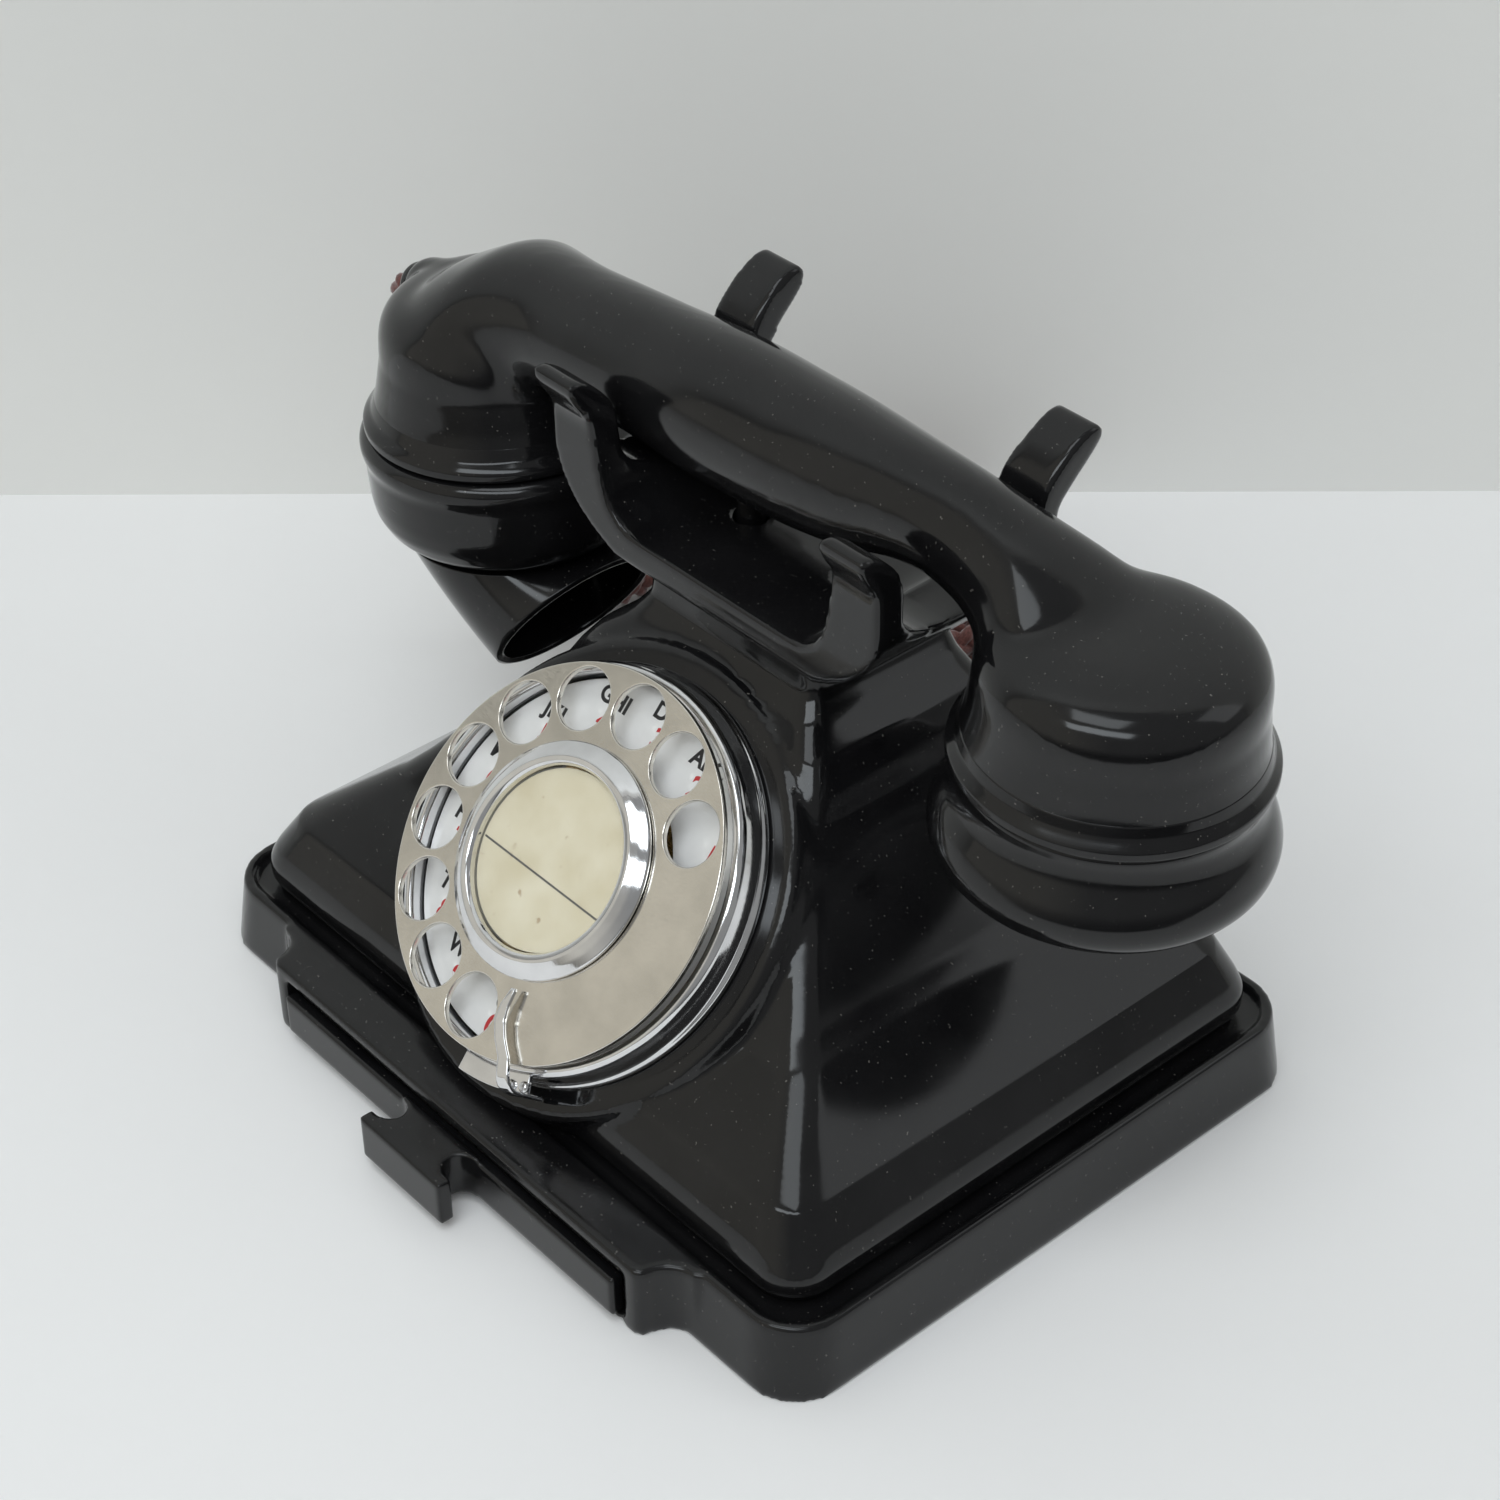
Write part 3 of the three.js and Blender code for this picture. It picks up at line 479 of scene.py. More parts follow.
def coil_points():
    points = []
    for (turn, radius, height), (next_turn, next_radius, next_height) in zip(COIL, COIL[1:]):
        count = max(1, round((next_turn - turn) * POINTS_PER_TURN))
        for i in range(count):
            t = i / count
            angle = math.pi - 2 * math.pi * (turn + t * (next_turn - turn))
            r = radius + t * (next_radius - radius)
            z = height + t * (next_height - height)
            points.append(COIL_CENTRE + Vector((r * math.cos(angle), r * math.sin(angle), z)))
    return points


def along(points):
    """For each point of a route, its two cross directions, carried along without twisting."""
    frames = []
    side = Vector((0, 1, 0))
    for i in range(len(points)):
        ahead = (points[min(i + 1, len(points) - 1)] - points[max(i - 1, 0)]).normalized()
        side = (side - ahead * side.dot(ahead)).normalized()
        frames.append((side, ahead.cross(side)))
    return frames


def handset_cord():
    """Strands plaited together, on one route from the gland to the plinth's back wall."""
    route = spline([*DROP, *coil_points(), *TAIL], ROUTE_STEP)
    frames = along(route)
    steps = [(b - a).length for a, b in zip(route, route[1:])]
    length = sum(steps)
    points, faces = [], []
    for strand in range(STRANDS):
        first = len(points)
        travelled = 0.0
        for k, (point, (side, up)) in enumerate(zip(route, frames)):
            phase = 2 * math.pi * (travelled / PLAIT_PITCH + strand / STRANDS)
            middle = point + side * PLAIT_SIDE * math.sin(phase)
            middle += up * PLAIT_UP * math.sin(2 * phase)
            for i in range(STRAND_SIDES):
                angle = 2 * math.pi * i / STRAND_SIDES
                yarn = math.cos(YARNS * angle - 2 * math.pi * travelled / YARN_PITCH)
                r = STRAND_RADIUS * (1 + YARN_RELIEF * yarn)
                points.append(middle + side * r * math.cos(angle) + up * r * math.sin(angle))
            if k < len(steps):
                travelled += steps[k]
        for k in range(len(route) - 1):
            a = first + k * STRAND_SIDES
            b = a + STRAND_SIDES
            for i in range(STRAND_SIDES):
                j = (i + 1) % STRAND_SIDES
                faces.append([a + i, b + i, b + j, a + j])
        last = first + (len(route) - 1) * STRAND_SIDES
        faces.append([first + i for i in range(STRAND_SIDES)])
        faces.append([last + i for i in range(STRAND_SIDES)][::-1])
    piece = link_mesh("handset_cord", [metres(point) for point in points], faces)
    piece.data.materials.append(COTTON)
    piece.data.polygons.foreach_set("use_smooth", [True] * len(piece.data.polygons))
    return piece, [metres(point) for point in route], length * MM


add_camera()
cord_piece, cord_route, cord_length = handset_cord()
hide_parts("cord_upper", "cord_lower", "cord_coil", "cord_tail")
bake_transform(cord_piece)

# ---- Body ---------------------------------------------------------------------------------------

# Height, half width, front, back and corner radius of the body, from its skirt to its neck.
BODY_SECTIONS = [
    (14.8, 81.2, -59.9, 59.9, 8.5), (16.9, 81.2, -59.9, 59.9, 8.5), (17.2, 82.2, -60.9, 60.9, 8.5),
    (21.2, 82.2, -60.9, 60.9, 8.5), (24, 81, -59.9, 60, 8.5), (31.2, 76.8, -55.8, 57, 7.5),
    (37.6, 68.6, -47.7, 53, 6), (43.6, 60.9, -39.8, 49.5, 5), (47.6, 57, -36.1, 47.5, 4.5),
    (71.6, 36.8, -16.2, 37.3, 4.5), (76.7, 34.2, -13.5, 35.8, 4.5), (81.1, 31.1, -10.5, 34.3, 4),
    (84.8, 26.7, -6.2, 33, 4), (88.9, 23.6, -3.1, 32.3, 3), (98.2, 22.6, -2.4, 32.3, 3),
]
WALL = 3.6
CRADLE_HALF = 44.5
PLUNGER_X = 14
# The middle of the finger plate's face, with Z out of it.
ON_DIAL = Matrix.Translation((0, -45.6, 60.24)) @ Matrix.Rotation(math.pi / 2 - DIAL_TILT, 4, "X")
SCREWS = [(-72, -50), (72, -50), (-72, 50), (72, 50)]


def body_skin(name, inset=0.0, drop=0.0):
    """The body's outside. An inset gives its inside, open below, and drop lowers the top."""
    rings = []
    for k, (z, half_x, front, back, radius) in enumerate(BODY_SECTIONS):
        height = z - drop if k == len(BODY_SECTIONS) - 1 else z
        corner = max(radius - inset / 2, 2)
        rings.append(rounded_ring(half_x - inset, front + inset, back - inset, corner, height))
    if inset:
        rings.insert(0, [(x, y, 10) for x, y, z in rings[0]])
    return loft(name, rings)


def cradle():
    """Four horns: their outline seen from the end, cut to their outline seen from the front."""
    back = [
        (21, 96), (20.8, 118), (21.6, 122.6), (25.5, 126.6), (29.4, 130.1), (31.6, 132.8),
        (31.6, 134.6), (30, 136), (26.5, 135), (22.6, 132.6), (19.4, 129.6), (16.9, 126.2),
        (16, 122),
    ]
    front = [
        (22.6, 96), (22.6, 121.4), (23.2, 124), (25.4, 127.2), (26.6, 130), (26.2, 131.8),
        (24.2, 131.8), (20.6, 129.6), (17.4, 126.2), (16, 122),
    ]
    angles = [i * math.pi / 24 for i in range(12)]
    arc = [(16 * math.cos(angle), 115.6 - 7 * math.sin(angle)) for angle in angles]
    outline = [*back, *arc, (0, 108.6), *[(-y, z) for y, z in reversed([*front, *arc])]]
    middle = Matrix.Translation((0, CRADLE_Y, 0))
    upright = Matrix.Rotation(math.pi / 2, 4, "X")
    lengthwise = middle @ Matrix.Rotation(math.pi / 2, 4, "Z") @ upright
    ends = slab("cradle", rounded(outline, 1.6, 4, True), -CRADLE_HALF, CRADLE_HALF, lengthwise)
    outer = [(27, 96), (34, 99.4), (39, 103), (42.6, 107.5), (44.5, 113), (44.5, 140)]
    notch = [(34.5, 140), (32.3, 120), (31, 112), (29, 106.5), (25.5, 103.4), (21, 102.5)]
    edge = [*outer, *notch]
    front_view = [*edge, *[(-x, z) for x, z in reversed(edge)]]
    view = slab("view", rounded(front_view, 2.2, 4, True), -60, 60, middle @ upright)
    return combine(ends, "INTERSECT", view)


def shell():
    piece = body_skin("shell")
    profile = [(0, -40), (49, -40), (49, -20), (46.8, -15), (46, -12), (45, -11), (0, -11)]
    boss = lathe("boss", rounded(profile, 1, 3), ON_DIAL, 128)
    combine(boss, "INTERSECT", block("above", (-70, -90, 17.2), (70, 20, 120)))
    combine(piece, "UNION", boss, cradle())
    inside = cylinder("inside", 42.6, -40, -15, ON_DIAL, 64)
    combine(inside, "INTERSECT", body_skin("limit", 1, 1))
    bore = cylinder("bore", 36.5, -26, 5, ON_DIAL, 96)
    foot = loft("foot", [rounded_ring(77.6, -56.3, 56.3, 6, z) for z in (10, 15.5)])
    combine(piece, "DIFFERENCE", body_skin("hollow", WALL, WALL), foot, inside, bore)
    for x, y in SCREWS:
        at = Matrix.Translation((x, y, 0))
        pillar = cylinder("pillar", 4.5, 15.1, 40, at, 32)
        combine(pillar, "INTERSECT", body_skin("limit", 1, 1))
        combine(piece, "UNION", pillar)
        combine(piece, "DIFFERENCE", cylinder("hole", 2.1, 10, 20.5, at, 24))
    for x in (-PLUNGER_X, PLUNGER_X):
        at = Matrix.Translation((x, CRADLE_Y, 0))
        combine(piece, "DIFFERENCE", cylinder("hole", 3.5, 88, 106, at, 32))
    moulded(piece, voxel=0.8, passes=3)
    finish(piece, PHENOLIC, "base", "body_shell")


def plungers():
    profile = [
        (0, 88.6), (4.6, 88.6), (4.6, 90.4), (2.9, 90.4), (2.9, 106.4), (1.8, 107.6), (0, 107.9),
    ]
    for i, (x, body) in enumerate(((-PLUNGER_X, "plunger_left"), (PLUNGER_X, "plunger_right"))):
        at = Matrix.Translation((x, CRADLE_Y, 0))
        piece = lathe(f"plunger_{i + 1}", rounded(profile, 0.4), at, 40)
        finish(piece, PHENOLIC, body, f"cradle_plunger_{i + 1}")


# ---- Plinth -------------------------------------------------------------------------------------


# Where the two cords go through the back wall.
INLET_X, INLET_Z = 20, 8.5


def housing_outline():
    """The bulge for the drawer, from above, with hollow curves at its sides."""
    side = []
    for i in range(13):
        angle = math.pi / 2 * i / 12
        side.append((57 + 6.5 * (1 - math.cos(angle)), -66.95 - 6.5 * (1 - math.sin(angle))))
    right = [(55.5, -74.5), (57, -73.3), *side, (57, -50)]
    return [*right, *[(-x, y) for x, y in reversed(right)]]


def plinth():
    def ring(inset, z, radius):
        return rounded_ring(89.35 - inset, -67.45 + inset, 67.45 - inset, radius, z)

    piece = loft("plinth_moulding", [ring(0, 0, 11.4), ring(1.8, 16.4, 11.4)])
    combine(piece, "UNION", slab("housing", housing_outline(), 0, 16.35))
    combine(piece, "DIFFERENCE", loft("recess", [ring(4, 14.4, 9), ring(4, 18, 9)]))
    combine(piece, "DIFFERENCE", loft("hollow", [ring(4, -1, 8), ring(4, 12.4, 8)]))
    combine(piece, "DIFFERENCE", block("opening", (-52.5, -80, 1.7), (52.5, -61.4, 13.4)))
    combine(piece, "DIFFERENCE", block("sill", (-52.5, -76, -1), (52.5, -66, 0.6)))
    for x, y in SCREWS:
        at = Matrix.Translation((x, y, 0))
        combine(piece, "UNION", cylinder("post", 5, 1.5, 14, at, 32))
        combine(piece, "DIFFERENCE", cylinder("hole", 2.2, -1, 17, at, 24))
    wires = loft("wires", [rounded_ring(14, 52, 60, 3, z, 4) for z in (5, 17)])
    combine(piece, "DIFFERENCE", wires)
    for x in (-INLET_X, INLET_X):
        through = Matrix.Translation((x, 55.4, INLET_Z)) @ Matrix.Rotation(-math.pi / 2, 4, "X")
        combine(piece, "DIFFERENCE", cylinder("inlet", 4.3, 0, 20, through, 32))
    moulded(piece, voxel=0.75, passes=4)
    finish(piece, PHENOLIC_MATT, "base", "plinth")


def drawer():
    """The drawer's front with its waisted pull, and the tray behind it."""
    panel = block("drawer_face", (-51, -76, 2.2), (51, -73, 11.2))
    waist = []
    for i in range(13):
        angle = math.pi * i / 12
        waist.append((7.5 + 4 * (1 - math.sin(angle)), -82.4 + 3.2 * (1 - math.cos(angle))))
    half = [(12.4, -85.4), (12.4, -82.4), *waist, (11.5, -75)]
    outline = [*half, *[(-x, y) for x, y in reversed(half)]]
    combine(panel, "UNION", slab("pull", outline, 2.2, 12.2))
    moulded(panel, voxel=0.5, passes=4)
    finish(panel, PHENOLIC_MATT, "drawer", "drawer_front")
    tray = block("tray", (-49.4, -72.7, 2.4), (49.4, 28, 10.8))
    combine(tray, "DIFFERENCE", block("inner", (-48.4, -71.7, 3.4), (48.4, 27, 30)))
    bevel(tray, 0.4)
    finish(tray, TINPLATE, "drawer", "drawer_tray")


# ---- Dial ---------------------------------------------------------------------------------------


def flat_curve(name, outlines, half, edge):
    """Outlines, the first one outside, as a flat plate with rounded edges, from -half to half."""
    data = bpy.data.curves.new(name, "CURVE")
    data.dimensions = "2D"
    data.fill_mode = "BOTH"
    data.extrude = (half - edge) * MM
    data.bevel_depth = edge * MM
    data.bevel_resolution = 4
    data.offset = -edge * MM
    for points in outlines:
        line = data.splines.new("POLY")
        line.points.add(len(points) - 1)
        for target, (x, y) in zip(line.points, points):
            target.co = (x * MM, y * MM, 0, 1)
        line.use_cyclic_u = True
    curve = bpy.data.objects.new(name, data)
    bpy.context.scene.collection.objects.link(curve)
    mesh = evaluated_mesh(curve)
    bpy.data.objects.remove(curve)
    solid = bpy.data.objects.new(name, mesh)
    bpy.context.scene.collection.objects.link(solid)
    return solid


def lay_on_dial(piece, height):
    """Moves a mesh drawn flat, in metres, to a height above the finger plate's face."""
    place = Matrix.Translation(SHIFT * MM)
    turn = ON_DIAL.copy()
    turn.translation *= MM
    piece.data.transform(place @ turn @ Matrix.Translation((0, 0, height * MM)))


def circle(x, y, radius, count):
    angles = [2 * math.pi * i / count for i in range(count)]
    return [(x + radius * math.cos(angle), y + radius * math.sin(angle)) for angle in angles]


FIRST_HOLE, HOLE_STEP = math.radians(38), math.radians(25.8)
HOLE_CIRCLE, HOLE_RADIUS = 30.8, 6.1
PLATE_RADIUS, PLATE_OPENING, PLATE_HALF, PLATE_EDGE = 38, 20.4, 0.7, 0.32
MARK_HEIGHT = -6.77  # just over the number ring's face
FIGURES = ["1", "2", "3", "4", "5", "6", "7", "8", "9", "0"]
LETTERS = ["", "ABC", "DEF", "GHI", "JKL", "MN", "PRS", "TUV", "WXY", "O"]


def finger_plate():
    """The finger plate, and the ring, card and window in its middle."""
    holes = []
    for k in range(len(FIGURES)):
        angle = FIRST_HOLE + k * HOLE_STEP
        x, y = HOLE_CIRCLE * math.cos(angle), HOLE_CIRCLE * math.sin(angle)
        holes.append(circle(x, y, HOLE_RADIUS, 64))
    outlines = [circle(0, 0, PLATE_RADIUS, 192), *holes, circle(0, 0, PLATE_OPENING, 96)]
    plate = flat_curve("finger_disc", outlines, PLATE_HALF, PLATE_EDGE)
    lay_on_dial(plate, -PLATE_HALF)
    finish(plate, NICKEL, "dial_rotor", "finger_plate")
    profile = [
        (20, -1.6), (20, 0.3), (22.6, 0.3), (22.6, 1.1), (21, 2.2), (19.4, 3.1), (18.2, 3),
        (17.6, 2.2), (17.6, -1.6),
    ]
    ring = lathe("label_rim", rounded(profile, 0.35, 4, True), ON_DIAL, 128, True)
    finish(ring, CHROME, "dial_rotor", "centre_ring")
    paper = lathe("label_paper", [(0, 0.2), (17.3, 0.2), (17.3, 0.8), (0, 0.8)], ON_DIAL, 96)
    finish(paper, CARD, "dial_rotor", "label_card", smooth=False)
    line = [(-16.6, -3.9), (16.6, -3.9), (16.6, -3.5), (-16.6, -3.5)]
    rule = slab("label_rule", line, 0.81, 0.84, ON_DIAL)
    finish(rule, BLACK_INK, "dial_rotor", smooth=False)
    profile = [(0, 1.2), (17.4, 1.2), (17.4, 1.5), (12, 1.8), (6, 1.95), (0, 2)]
    cover = lathe("label_cover", profile, ON_DIAL, 96)
    finish(cover, CELLULOID, "dial_rotor", "label_window")


def dial_face():
    """The case round the finger plate, and the number ring under it with its marks."""
    profile = [
        (34.8, -26), (36, -26), (36, -10.8), (40.6, -10.8), (40.6, -9.6), (39.9, -9), (39.4, -4.6),
        (38.6, -3.6), (37.4, -3.6), (36.9, -4.2), (36.9, -8), (34.8, -8),
    ]
    case = lathe("dial_bezel", rounded(profile, 0.5, 4, True), ON_DIAL, 160, True)
    finish(case, CHROME, "base", "dial_case")
    profile = rounded([(22, -7.6), (36.4, -7.6), (36.4, -6.8), (22, -6.8)], 0.15, 2, True)
    ring = lathe("dial_numbers", profile, ON_DIAL, 128, True)
    finish(ring, ENAMEL, "base", "number_ring")
    dial_marks("dial_letters", BLACK_INK, 4.6, 0.9, LETTERS)
    dial_marks("dial_figures", RED_INK, 5.8, -4.4, FIGURES)


def dial_marks(name, material, size, rise, texts):
    """One text for each finger hole, a little above or below the hole's middle."""
    points, faces = [], []
    for k, text in enumerate(texts):
        if not text:
            continue
        data = bpy.data.curves.new("mark", "FONT")
        data.body = text
        data.size = size * MM
        data.align_x = "CENTER"
        data.extrude = 0.02 * MM
        data.offset = 0.15 * MM
        mark = bpy.data.objects.new("mark", data)
        bpy.context.scene.collection.objects.link(mark)
        mesh = evaluated_mesh(mark)
        angle = FIRST_HOLE + k * HOLE_STEP
        x = (HOLE_CIRCLE * math.cos(angle) + 1.2) * MM
        y = (HOLE_CIRCLE * math.sin(angle) + rise) * MM
        first = len(points)
        points += [(v.co.x + x, v.co.y + y, v.co.z) for v in mesh.vertices]
        faces += [[first + i for i in face.vertices] for face in mesh.polygons]
        bpy.data.objects.remove(mark)
    piece = link_mesh(name, points, faces)
    lay_on_dial(piece, MARK_HEIGHT)
    finish(piece, material, "base", smooth=False)


# Radius, height, angle and width along the finger stop, from under the case's rim to its tip.
STOP = [
    (42.8, -8.9, -66, 3.2), (42.8, -5, -66, 3.1), (42.8, -2.2, -66, 3), (42.2, 0.2, -66, 2.9),
    (40.6, 1.5, -66.2, 2.7), (38, 1.75, -67, 2.6), (34, 1.75, -70, 2.6), (30, 1.75, -72.2, 2.4),
    (27, 1.75, -71.8, 1.9), (24.4, 1.6, -69.7, 1),
]
STOP_THICKNESS = 0.9


def finger_stop():
    """A thin hooked blade over the finger plate, with its fixing ear and screws."""
    line = spline([(radius, height, 0) for radius, height, _, _ in STOP], 0.5)
    rings = []
    for i, point in enumerate(line):
        share = i / (len(line) - 1) * (len(STOP) - 1)
        k = min(int(share), len(STOP) - 2)
        t = share - k
        (_, _, degrees, width), (_, _, next_degrees, next_width) = STOP[k], STOP[k + 1]
        angle = math.radians(degrees + t * (next_degrees - degrees))
        width += t * (next_width - width)
        ahead = (line[min(i + 1, len(line) - 1)] - line[max(i - 1, 0)]).normalized()
        across = Vector((-math.sin(angle), math.cos(angle), 0))
        outward = Vector((math.cos(angle), math.sin(angle), 0))
        thick = outward * -ahead.y + Vector((0, 0, 1)) * ahead.x
        middle = outward * point.x + Vector((0, 0, point.y))
        ring = []
        for u, v in rounded([(-0.5, -0.5), (0.5, -0.5), (0.5, 0.5), (-0.5, 0.5)], 0.2, 3, True):
            ring.append(ON_DIAL @ (middle + across * u * width + thick * v * STOP_THICKNESS))
        rings.append(ring)
    piece = loft("stop_hook", rings)
    finish(piece, CHROME, "base", "finger_stop")
    arc = [math.radians(-87 + i * 2) for i in range(13)]
    outline = [(42.6 * math.cos(a), 42.6 * math.sin(a)) for a in arc]
    outline += [(38.9 * math.cos(a), 38.9 * math.sin(a)) for a in reversed(arc)]
    ear = bevel(slab("stop_ear", outline, -4.2, -3.3, ON_DIAL), 0.2)
    finish(ear, CHROME, "base")
    profile = rounded([(0, -0.2), (1.1, -0.2), (1.1, 0.5), (0.7, 0.9), (0, 1)], 0.2)
    for k, degrees in enumerate((-64, -68.5)):
        a = math.radians(degrees)
        at = ON_DIAL @ Matrix.Translation((41.4 * math.cos(a), 41.4 * math.sin(a), -3.3))
        finish(lathe(f"stop_screw_{k + 1}", profile, at, 24), CHROME, "base")


# ---- Handset ------------------------------------------------------------------------------------

# Where the handle is along X, half its width, half its height and the height of its middle.
HANDLE = [
    (-112, 7, 4.4, 109), (-107, 13, 8, 108.8), (-103, 17.5, 10.8, 109.2), (-98, 20, 13.2, 110.8),
    (-92, 21, 15, 112.4), (-86, 19.6, 15.6, 115.3), (-80, 17, 14.8, 117.6),
    (-72, 14.4, 13.8, 119.6), (-64, 13.3, 13.3, 120.6), (-40, 13.4, 13.4, 122.4),
    (-20, 14.4, 14.4, 123), (0, 14, 14, 123.6), (10, 13.5, 13.5, 124.1), (20, 12.5, 12.5, 124.9),
    (30, 11, 11, 126.3), (40, 10.4, 10.3, 126.6), (50, 11.2, 10.8, 124.9),
    (57, 13.2, 12.2, 122.2), (63, 16.2, 13.6, 118.9), (69, 19.6, 14.2, 115.2),
    (75, 21.6, 13, 112.4), (82, 20, 9, 112.5),
]
HANDLE_STEP = 2.5


def housing_place(x, lean, pivot):
    """A housing's place along X, leaning by some degrees about the height of pivot."""
    shift = Matrix.Translation((x, CRADLE_Y, pivot))
    return shift @ Matrix.Rotation(math.radians(lean), 4, "Y") @ Matrix.Translation((0, 0, -pivot))


TRANSMITTER = housing_place(-90.7, -2.6, 94)
RECEIVER = housing_place(79.5, 2.8, 105.5)
# The cord's way out of the handset, with Z along it.
EXIT_LINE = Vector((-0.97, 0, -0.24)).normalized()
EXIT_TURN = Vector((0, 0, 1)).rotation_difference(EXIT_LINE).to_matrix().to_4x4()
EXIT = Matrix.Translation((-114, CRADLE_Y, 110)) @ EXIT_TURN


def dome(radius, height, base, power):
    """A profile from radius at base to the middle, squarer as power gets less."""
    profile = []
    for i in range(24):
        angle = math.pi / 2 * i / 24
        out, up = math.cos(angle) ** power, math.sin(angle) ** power
        profile.append((radius * out, base + height * up))
    return [*profile, (0, base + height)]


def handset():
    """The moulding of handle and housings, with its rims and the cord's gland."""
    places = spline([(x, 0, z) for x, width, height, z in HANDLE], HANDLE_STEP)
    sizes = spline([(x, width, height) for x, width, height, z in HANDLE], HANDLE_STEP)
    rings = []
    for x, _, z in places:
        # The two curves' points are at different places along X.
        near = min(range(len(sizes) - 1), key=lambda k: abs((sizes[k].x + sizes[k + 1].x) / 2 - x))
        a, b = sizes[near], sizes[near + 1]
        size = a.lerp(b, (x - a.x) / (b.x - a.x))
        ring = []
        for i in range(64):
            angle = 2 * math.pi * i / 64
            ring.append((x, CRADLE_Y + size.y * math.cos(angle), z + size.z * math.sin(angle)))
        rings.append(ring)
    piece = loft("handset_shell", rings)
    skirt = [(0, 98.9), (27, 98.9), (27, 102.5), (26.2, 106), (25.7, 110)]
    receiver = lathe("end", [*skirt, *dome(25.4, 12.9, 112, 0.55)], RECEIVER, 128)
    skirt = [(0, 90.5), (27, 90.5), (27, 94.5), (25.8, 99), (24.8, 104)]
    transmitter = lathe("end", [*skirt, *dome(24.4, 14.1, 105.8, 0.58)], TRANSMITTER, 128)
    profile = rounded([(0, -9), (6.8, -9), (6.3, 0), (5.3, 2.4), (0, 2.4)], 0.6)
    nose = lathe("nose", profile, EXIT, 48)
    combine(piece, "UNION", receiver, transmitter, nose)
    combine(piece, "DIFFERENCE", cylinder("room", 21.4, 90, 115, RECEIVER, 64))
    combine(piece, "DIFFERENCE", cylinder("room", 21.1, 80, 108, TRANSMITTER, 64))
    combine(piece, "DIFFERENCE", cylinder("bore", 3.9, -12, 3, EXIT, 32))

    def soft(point):
        """Most where the handle runs into the housings, and none in their skirts."""
        weight = 1 - abs(point.x - 68) / 22 if point.x > 0 else 1 - abs(point.x + 84) / 30
        return max(0, min(1, 2 * weight, (point.z - 106) / 3))

    moulded(piece, voxel=0.7, passes=7, soft=soft)
    finish(piece, PHENOLIC, "handset", "handset_body")
    profile = [
        (22.2, 98.6), (28, 98.6), (28.7, 99.1), (28.7, 100.8), (28.1, 101.5), (27.2, 102.5),
        (26.5, 105), (22.2, 105),
    ]
    rim = lathe("receiver_rim", rounded(profile, 0.5, 4, True), RECEIVER, 160, True)
    finish(rim, PHENOLIC, "handset")
    profile = [
        (22, 90.2), (28.4, 90.2), (29.2, 90.8), (29.2, 92.4), (28.6, 93.2), (27.4, 94.4),
        (26.3, 97), (22, 97),
    ]
    rim = lathe("transmitter_rim", rounded(profile, 0.5, 4, True), TRANSMITTER, 160, True)
    finish(rim, PHENOLIC, "handset")
    profile = [(3.7, 2.7), (4.9, 2.7), (4.9, 4), (4.4, 5), (3.7, 5)]
    gland = lathe("gland", rounded(profile, 0.3, 3, True), EXIT, 48, True)
    finish(gland, PHENOLIC, "handset", "cord_gland")


def caps():
    profile = [
        (3.2, 84), (3.2, 81.6), (10, 81.2), (16, 79.8), (21, 77), (24.2, 76.5), (28.4, 78.2),
        (30.6, 81.2), (31, 84.4), (29.8, 88.2), (27.6, 91.8), (27, 94.8), (27.4, 97.4),
        (26.8, 98.3), (25, 98.3), (25, 90), (22, 86.2), (12, 84),
    ]
    ear = lathe("ear_piece", rounded(profile, 2, 5, True), RECEIVER, 160, True)
    finish(ear, PHENOLIC, "handset", "ear_cap")
    profile = [
        (17.6, 69.6), (17.6, 66.8), (24.4, 67.3), (27.2, 69.6), (28.9, 72.8), (29.4, 76),
        (29.7, 84), (30.5, 86.4), (30.4, 88.4), (29, 89.9), (24.6, 89.9), (24.6, 73.5),
        (20.5, 70.5),
    ]
    ring = lathe("transmitter_ring", rounded(profile, 1.1, 5, True), TRANSMITTER, 160, True)
    finish(ring, PHENOLIC, "handset", "transmitter_cap")


def scoop():
    """The mouthpiece: oval sections that fan out from the ring on the cap to the slanting mouth."""
    top_near, top_far = Vector((-66.2, 66.9)), Vector((-113, 64.8))
    mouth_near, mouth_far, bulge = Vector((-61, 67)), Vector((-81, 35.8)), Vector((-99.4, 47.2))
    half_top, half_mouth = 23.4, 19.5

    def section(share, inset, beyond):
        """The oval at a share of the way to the mouth, set in, and moved beyond it."""
        far = (1 - share) ** 2 * top_far + 2 * share * (1 - share) * bulge + share**2 * mouth_far
        near = top_near.lerp(mouth_near, share)
        middle = (near + far) / 2
        reach = (far - near).normalized() * ((far - near).length / 2 - inset)
        outward = Vector((-reach.y, reach.x)).normalized() * beyond
        half = half_top + share * (half_mouth - half_top) - inset
        ring = []
        for i in range(96):
            angle = -2 * math.pi * i / 96
            point = middle + reach * math.cos(angle) + outward
            ring.append((point.x, CRADLE_Y + half * math.sin(angle), point.y))
        return ring

    shares = [1 - i / 24 for i in range(25)]
    lip = ((1.9, 0.1), (1.4, 0.45), (0.8, 0.45), (0.3, 0.15))
    outside = [section(share, 0, 0) for share in shares]
    rim = [section(1, inset, beyond) for inset, beyond in lip]
    inside = [section(share, 2.2, 0) for share in reversed(shares)]
    piece = loft("scoop", [*inside, *rim, *outside], True)
    finish(piece, PHENOLIC, "handset", "mouthpiece")


# ---- Underside, bushes and works ----------------------------------------------------------------


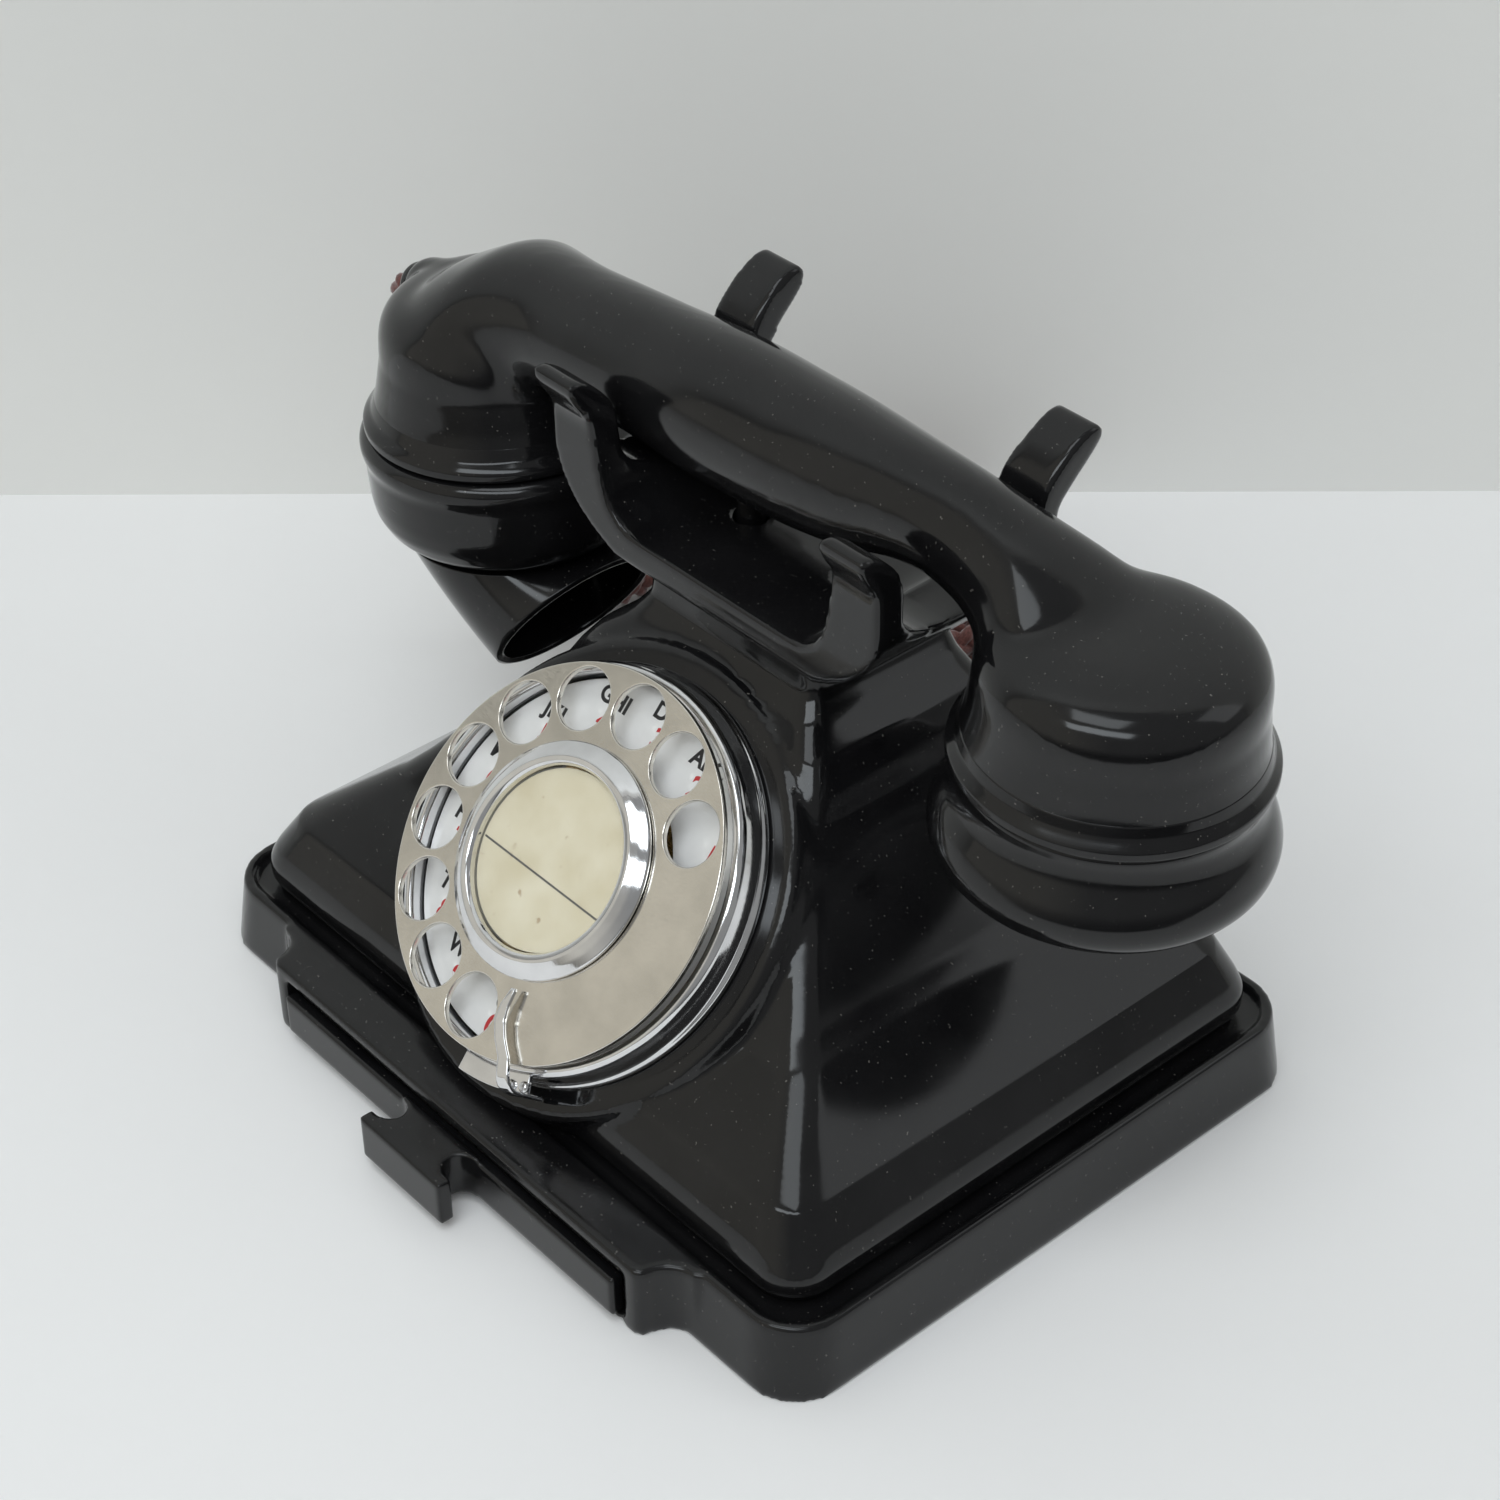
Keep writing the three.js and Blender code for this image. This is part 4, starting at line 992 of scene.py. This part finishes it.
def fittings():
    """The bushes and base screws, and materials for the nodes that keep the CAD's shape."""
    profile = [(3.7, -3.6), (4, -3.6), (4, 0.3), (5.6, 0.3), (5.6, 1.8), (4.6, 3), (3.7, 3)]
    profile = rounded(profile, 0.4, 4, True)
    for name, x, node in (
        ("line_bush", INLET_X, "line_cord_bush"), ("cord_bush", -INLET_X, "handset_cord_bush"),
    ):
        out = Matrix.Translation((x, 67.35, INLET_Z)) @ Matrix.Rotation(-math.pi / 2, 4, "X")
        finish(lathe(name, profile, out, 64, True), PHENOLIC_MATT, "base", node)
    profile = [(0, 0.2), (3.2, 0.2), (3.2, 1.4), (1.7, 1.4), (1.7, 19), (0, 19)]
    profile = rounded(profile, 0.25)
    for i, (x, y) in enumerate(SCREWS):
        screw = lathe(f"screw_{i + 1}", profile, Matrix.Translation((x, y, 0)), 32)
        slot = block("slot", (x - 4, y - 0.4, -1), (x + 4, y + 0.4, 0.8))
        combine(screw, "DIFFERENCE", slot)
        finish(screw, STEEL, "base", f"base_screw_{i + 1}", smooth=False)
    for name, material, width in (
        ("base_plate", STEEL, 0.3), ("dial_frame", BRASS, 0.2),
        ("dial_contact_springs", BRASS, 0.1), ("dial_spindle", STEEL, 0.2),
        ("drive_wheel", BRASS, 0.1), ("governor", BRASS, 0.1),
        ("induction_coil", VARNISHED_CLOTH, 0.4), ("capacitor", TINPLATE, 0.6),
        ("terminal_block", PHENOLIC_MATT, 0.4), ("switch_bracket", STEEL, 0.2),
        ("switch_springs", BRASS, 0.1), ("switch_lever", STEEL, 0.2), ("note_card", CARD, 0.05),
        ("receiver_capsule", TINPLATE, 0.4), ("transmitter_capsule", TINPLATE, 0.4),
    ):
        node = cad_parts[name]
        node.data.materials.clear()
        node.data.materials.append(material)
        bevel(node, width)


# ---- Table, wall and light ----------------------------------------------------------------------
# Lengths here are metres.

AWAY = Vector((-0.7453, 0.6668, 0))  # level, from the plinth's middle straight at the wall
WALL_DISTANCE, WALL_HEIGHT, HALF_WIDTH, TABLE_DEPTH = 0.1893, 2.2, 3, 0.55
MIDDLE_HEIGHT = 0.07  # what the lights are aimed at


def plain(name, color, roughness):
    n = Nodes(name)
    darker = tuple(value * 0.97 for value in color)
    color = n.ramp(n.noise(3, 2), [(0.35, darker), (0.65, color)])
    n.link(color, n.shader.inputs["Base Color"])
    n.set(Roughness=roughness)
    n.bump([(n.noise(60, 3), 0.2, 0.0002)])
    return n.material


def one_sided(material):
    """Clear from behind, so that the object is seen from all round."""
    tree = material.node_tree
    shader, output = tree.nodes["Principled BSDF"], tree.nodes["Material Output"]
    mix = tree.nodes.new("ShaderNodeMixShader")
    geometry = tree.nodes.new("ShaderNodeNewGeometry")
    clear = tree.nodes.new("ShaderNodeBsdfTransparent")
    tree.links.new(geometry.outputs["Backfacing"], mix.inputs["Fac"])
    tree.links.new(shader.outputs["BSDF"], mix.inputs[1])
    tree.links.new(clear.outputs["BSDF"], mix.inputs[2])
    tree.links.new(mix.outputs["Shader"], output.inputs["Surface"])
    return material


def stage():
    """A pale table and, right behind it, a light grey wall, turned towards dial and receiver."""
    side = Vector((AWAY.y, -AWAY.x, 0)) * HALF_WIDTH
    back = AWAY * WALL_DISTANCE + SHIFT * MM
    near = back - AWAY * TABLE_DEPTH
    top = Vector((0, 0, WALL_HEIGHT))
    face = [[0, 1, 2, 3]]
    table = link_mesh("table", [near - side, near + side, back + side, back - side], face)
    table.data.materials.append(plain("table_top", (0.83, 0.835, 0.84), 0.45))
    wall = link_mesh("wall", [back - side, back + side, back + side + top, back - side + top], face)
    wall.data.materials.append(one_sided(plain("wall_paint", (0.82, 0.825, 0.805), 0.9)))


def area_light(name, position, size, energy, color):
    """A rectangle that shines on the object."""
    data = bpy.data.lights.new(name, "AREA")
    data.shape = "RECTANGLE"
    data.size, data.size_y = size
    data.energy = energy
    data.color = color
    light = bpy.data.objects.new(name, data)
    bpy.context.scene.collection.objects.link(light)
    light.location = position
    aim = Vector((0, 0, MIDDLE_HEIGHT)) - Vector(position)
    light.rotation_euler = aim.to_track_quat("-Z", "Y").to_euler()
    return light


def lights():
    """Two windows and a rooflight, which the mouldings mirror, and a broad light they don't."""
    area_light("window", (0.45, -0.82, 1.2), (1.1, 0.34), 4.6, (0.88, 0.95, 1))
    area_light("side_window", (0.9, 0.9, 1.0), (0.5, 0.8), 1.0, (0.95, 0.98, 1))
    area_light("rooflight", (0.15, -0.35, 1.5), (0.7, 0.5), 2.6, (0.9, 0.96, 1))
    overhead = area_light("overhead", (0.75, -0.8, 1.9), (2.2, 2.2), 17, (1, 1, 1))
    overhead.visible_glossy = False


def room():
    """What lights the object from all round: warm and light on one side, dim from below."""
    world = bpy.data.worlds.new("room")
    world.use_nodes = True
    tree = world.node_tree
    place = tree.nodes.new("ShaderNodeTexCoord")
    toward = tree.nodes.new("ShaderNodeVectorMath")
    toward.operation = "DOT_PRODUCT"
    toward.inputs[1].default_value = (-0.65, -0.75, 0.1)
    ramp = tree.nodes.new("ShaderNodeValToRGB")
    stops = ((0.2, (0.27, 0.275, 0.275)), (0.7, (0.59, 0.575, 0.52)))
    for element, (position, color) in zip(ramp.color_ramp.elements, stops):
        element.position = position
        element.color = (*color, 1)
    tree.links.new(place.outputs["Generated"], toward.inputs[0])
    tree.links.new(toward.outputs["Value"], ramp.inputs["Fac"])
    height = tree.nodes.new("ShaderNodeSeparateXYZ")
    level = tree.nodes.new("ShaderNodeMapRange")
    limits = {"From Min": -0.2, "From Max": 0.05, "To Min": 0.1, "To Max": 1}
    for name, value in limits.items():
        level.inputs[name].default_value = value
    background = tree.nodes["Background"]
    tree.links.new(place.outputs["Generated"], height.inputs["Vector"])
    tree.links.new(height.outputs["Z"], level.inputs["Value"])
    tree.links.new(level.outputs["Result"], background.inputs["Strength"])
    tree.links.new(ramp.outputs["Color"], background.inputs["Color"])
    bpy.context.scene.world = world


shell()
plungers()
plinth()
drawer()
finger_plate()
dial_face()
finger_stop()
handset()
caps()
scoop()
fittings()
stage()
lights()
room()
bpy.context.scene.view_settings.view_transform = "Standard"
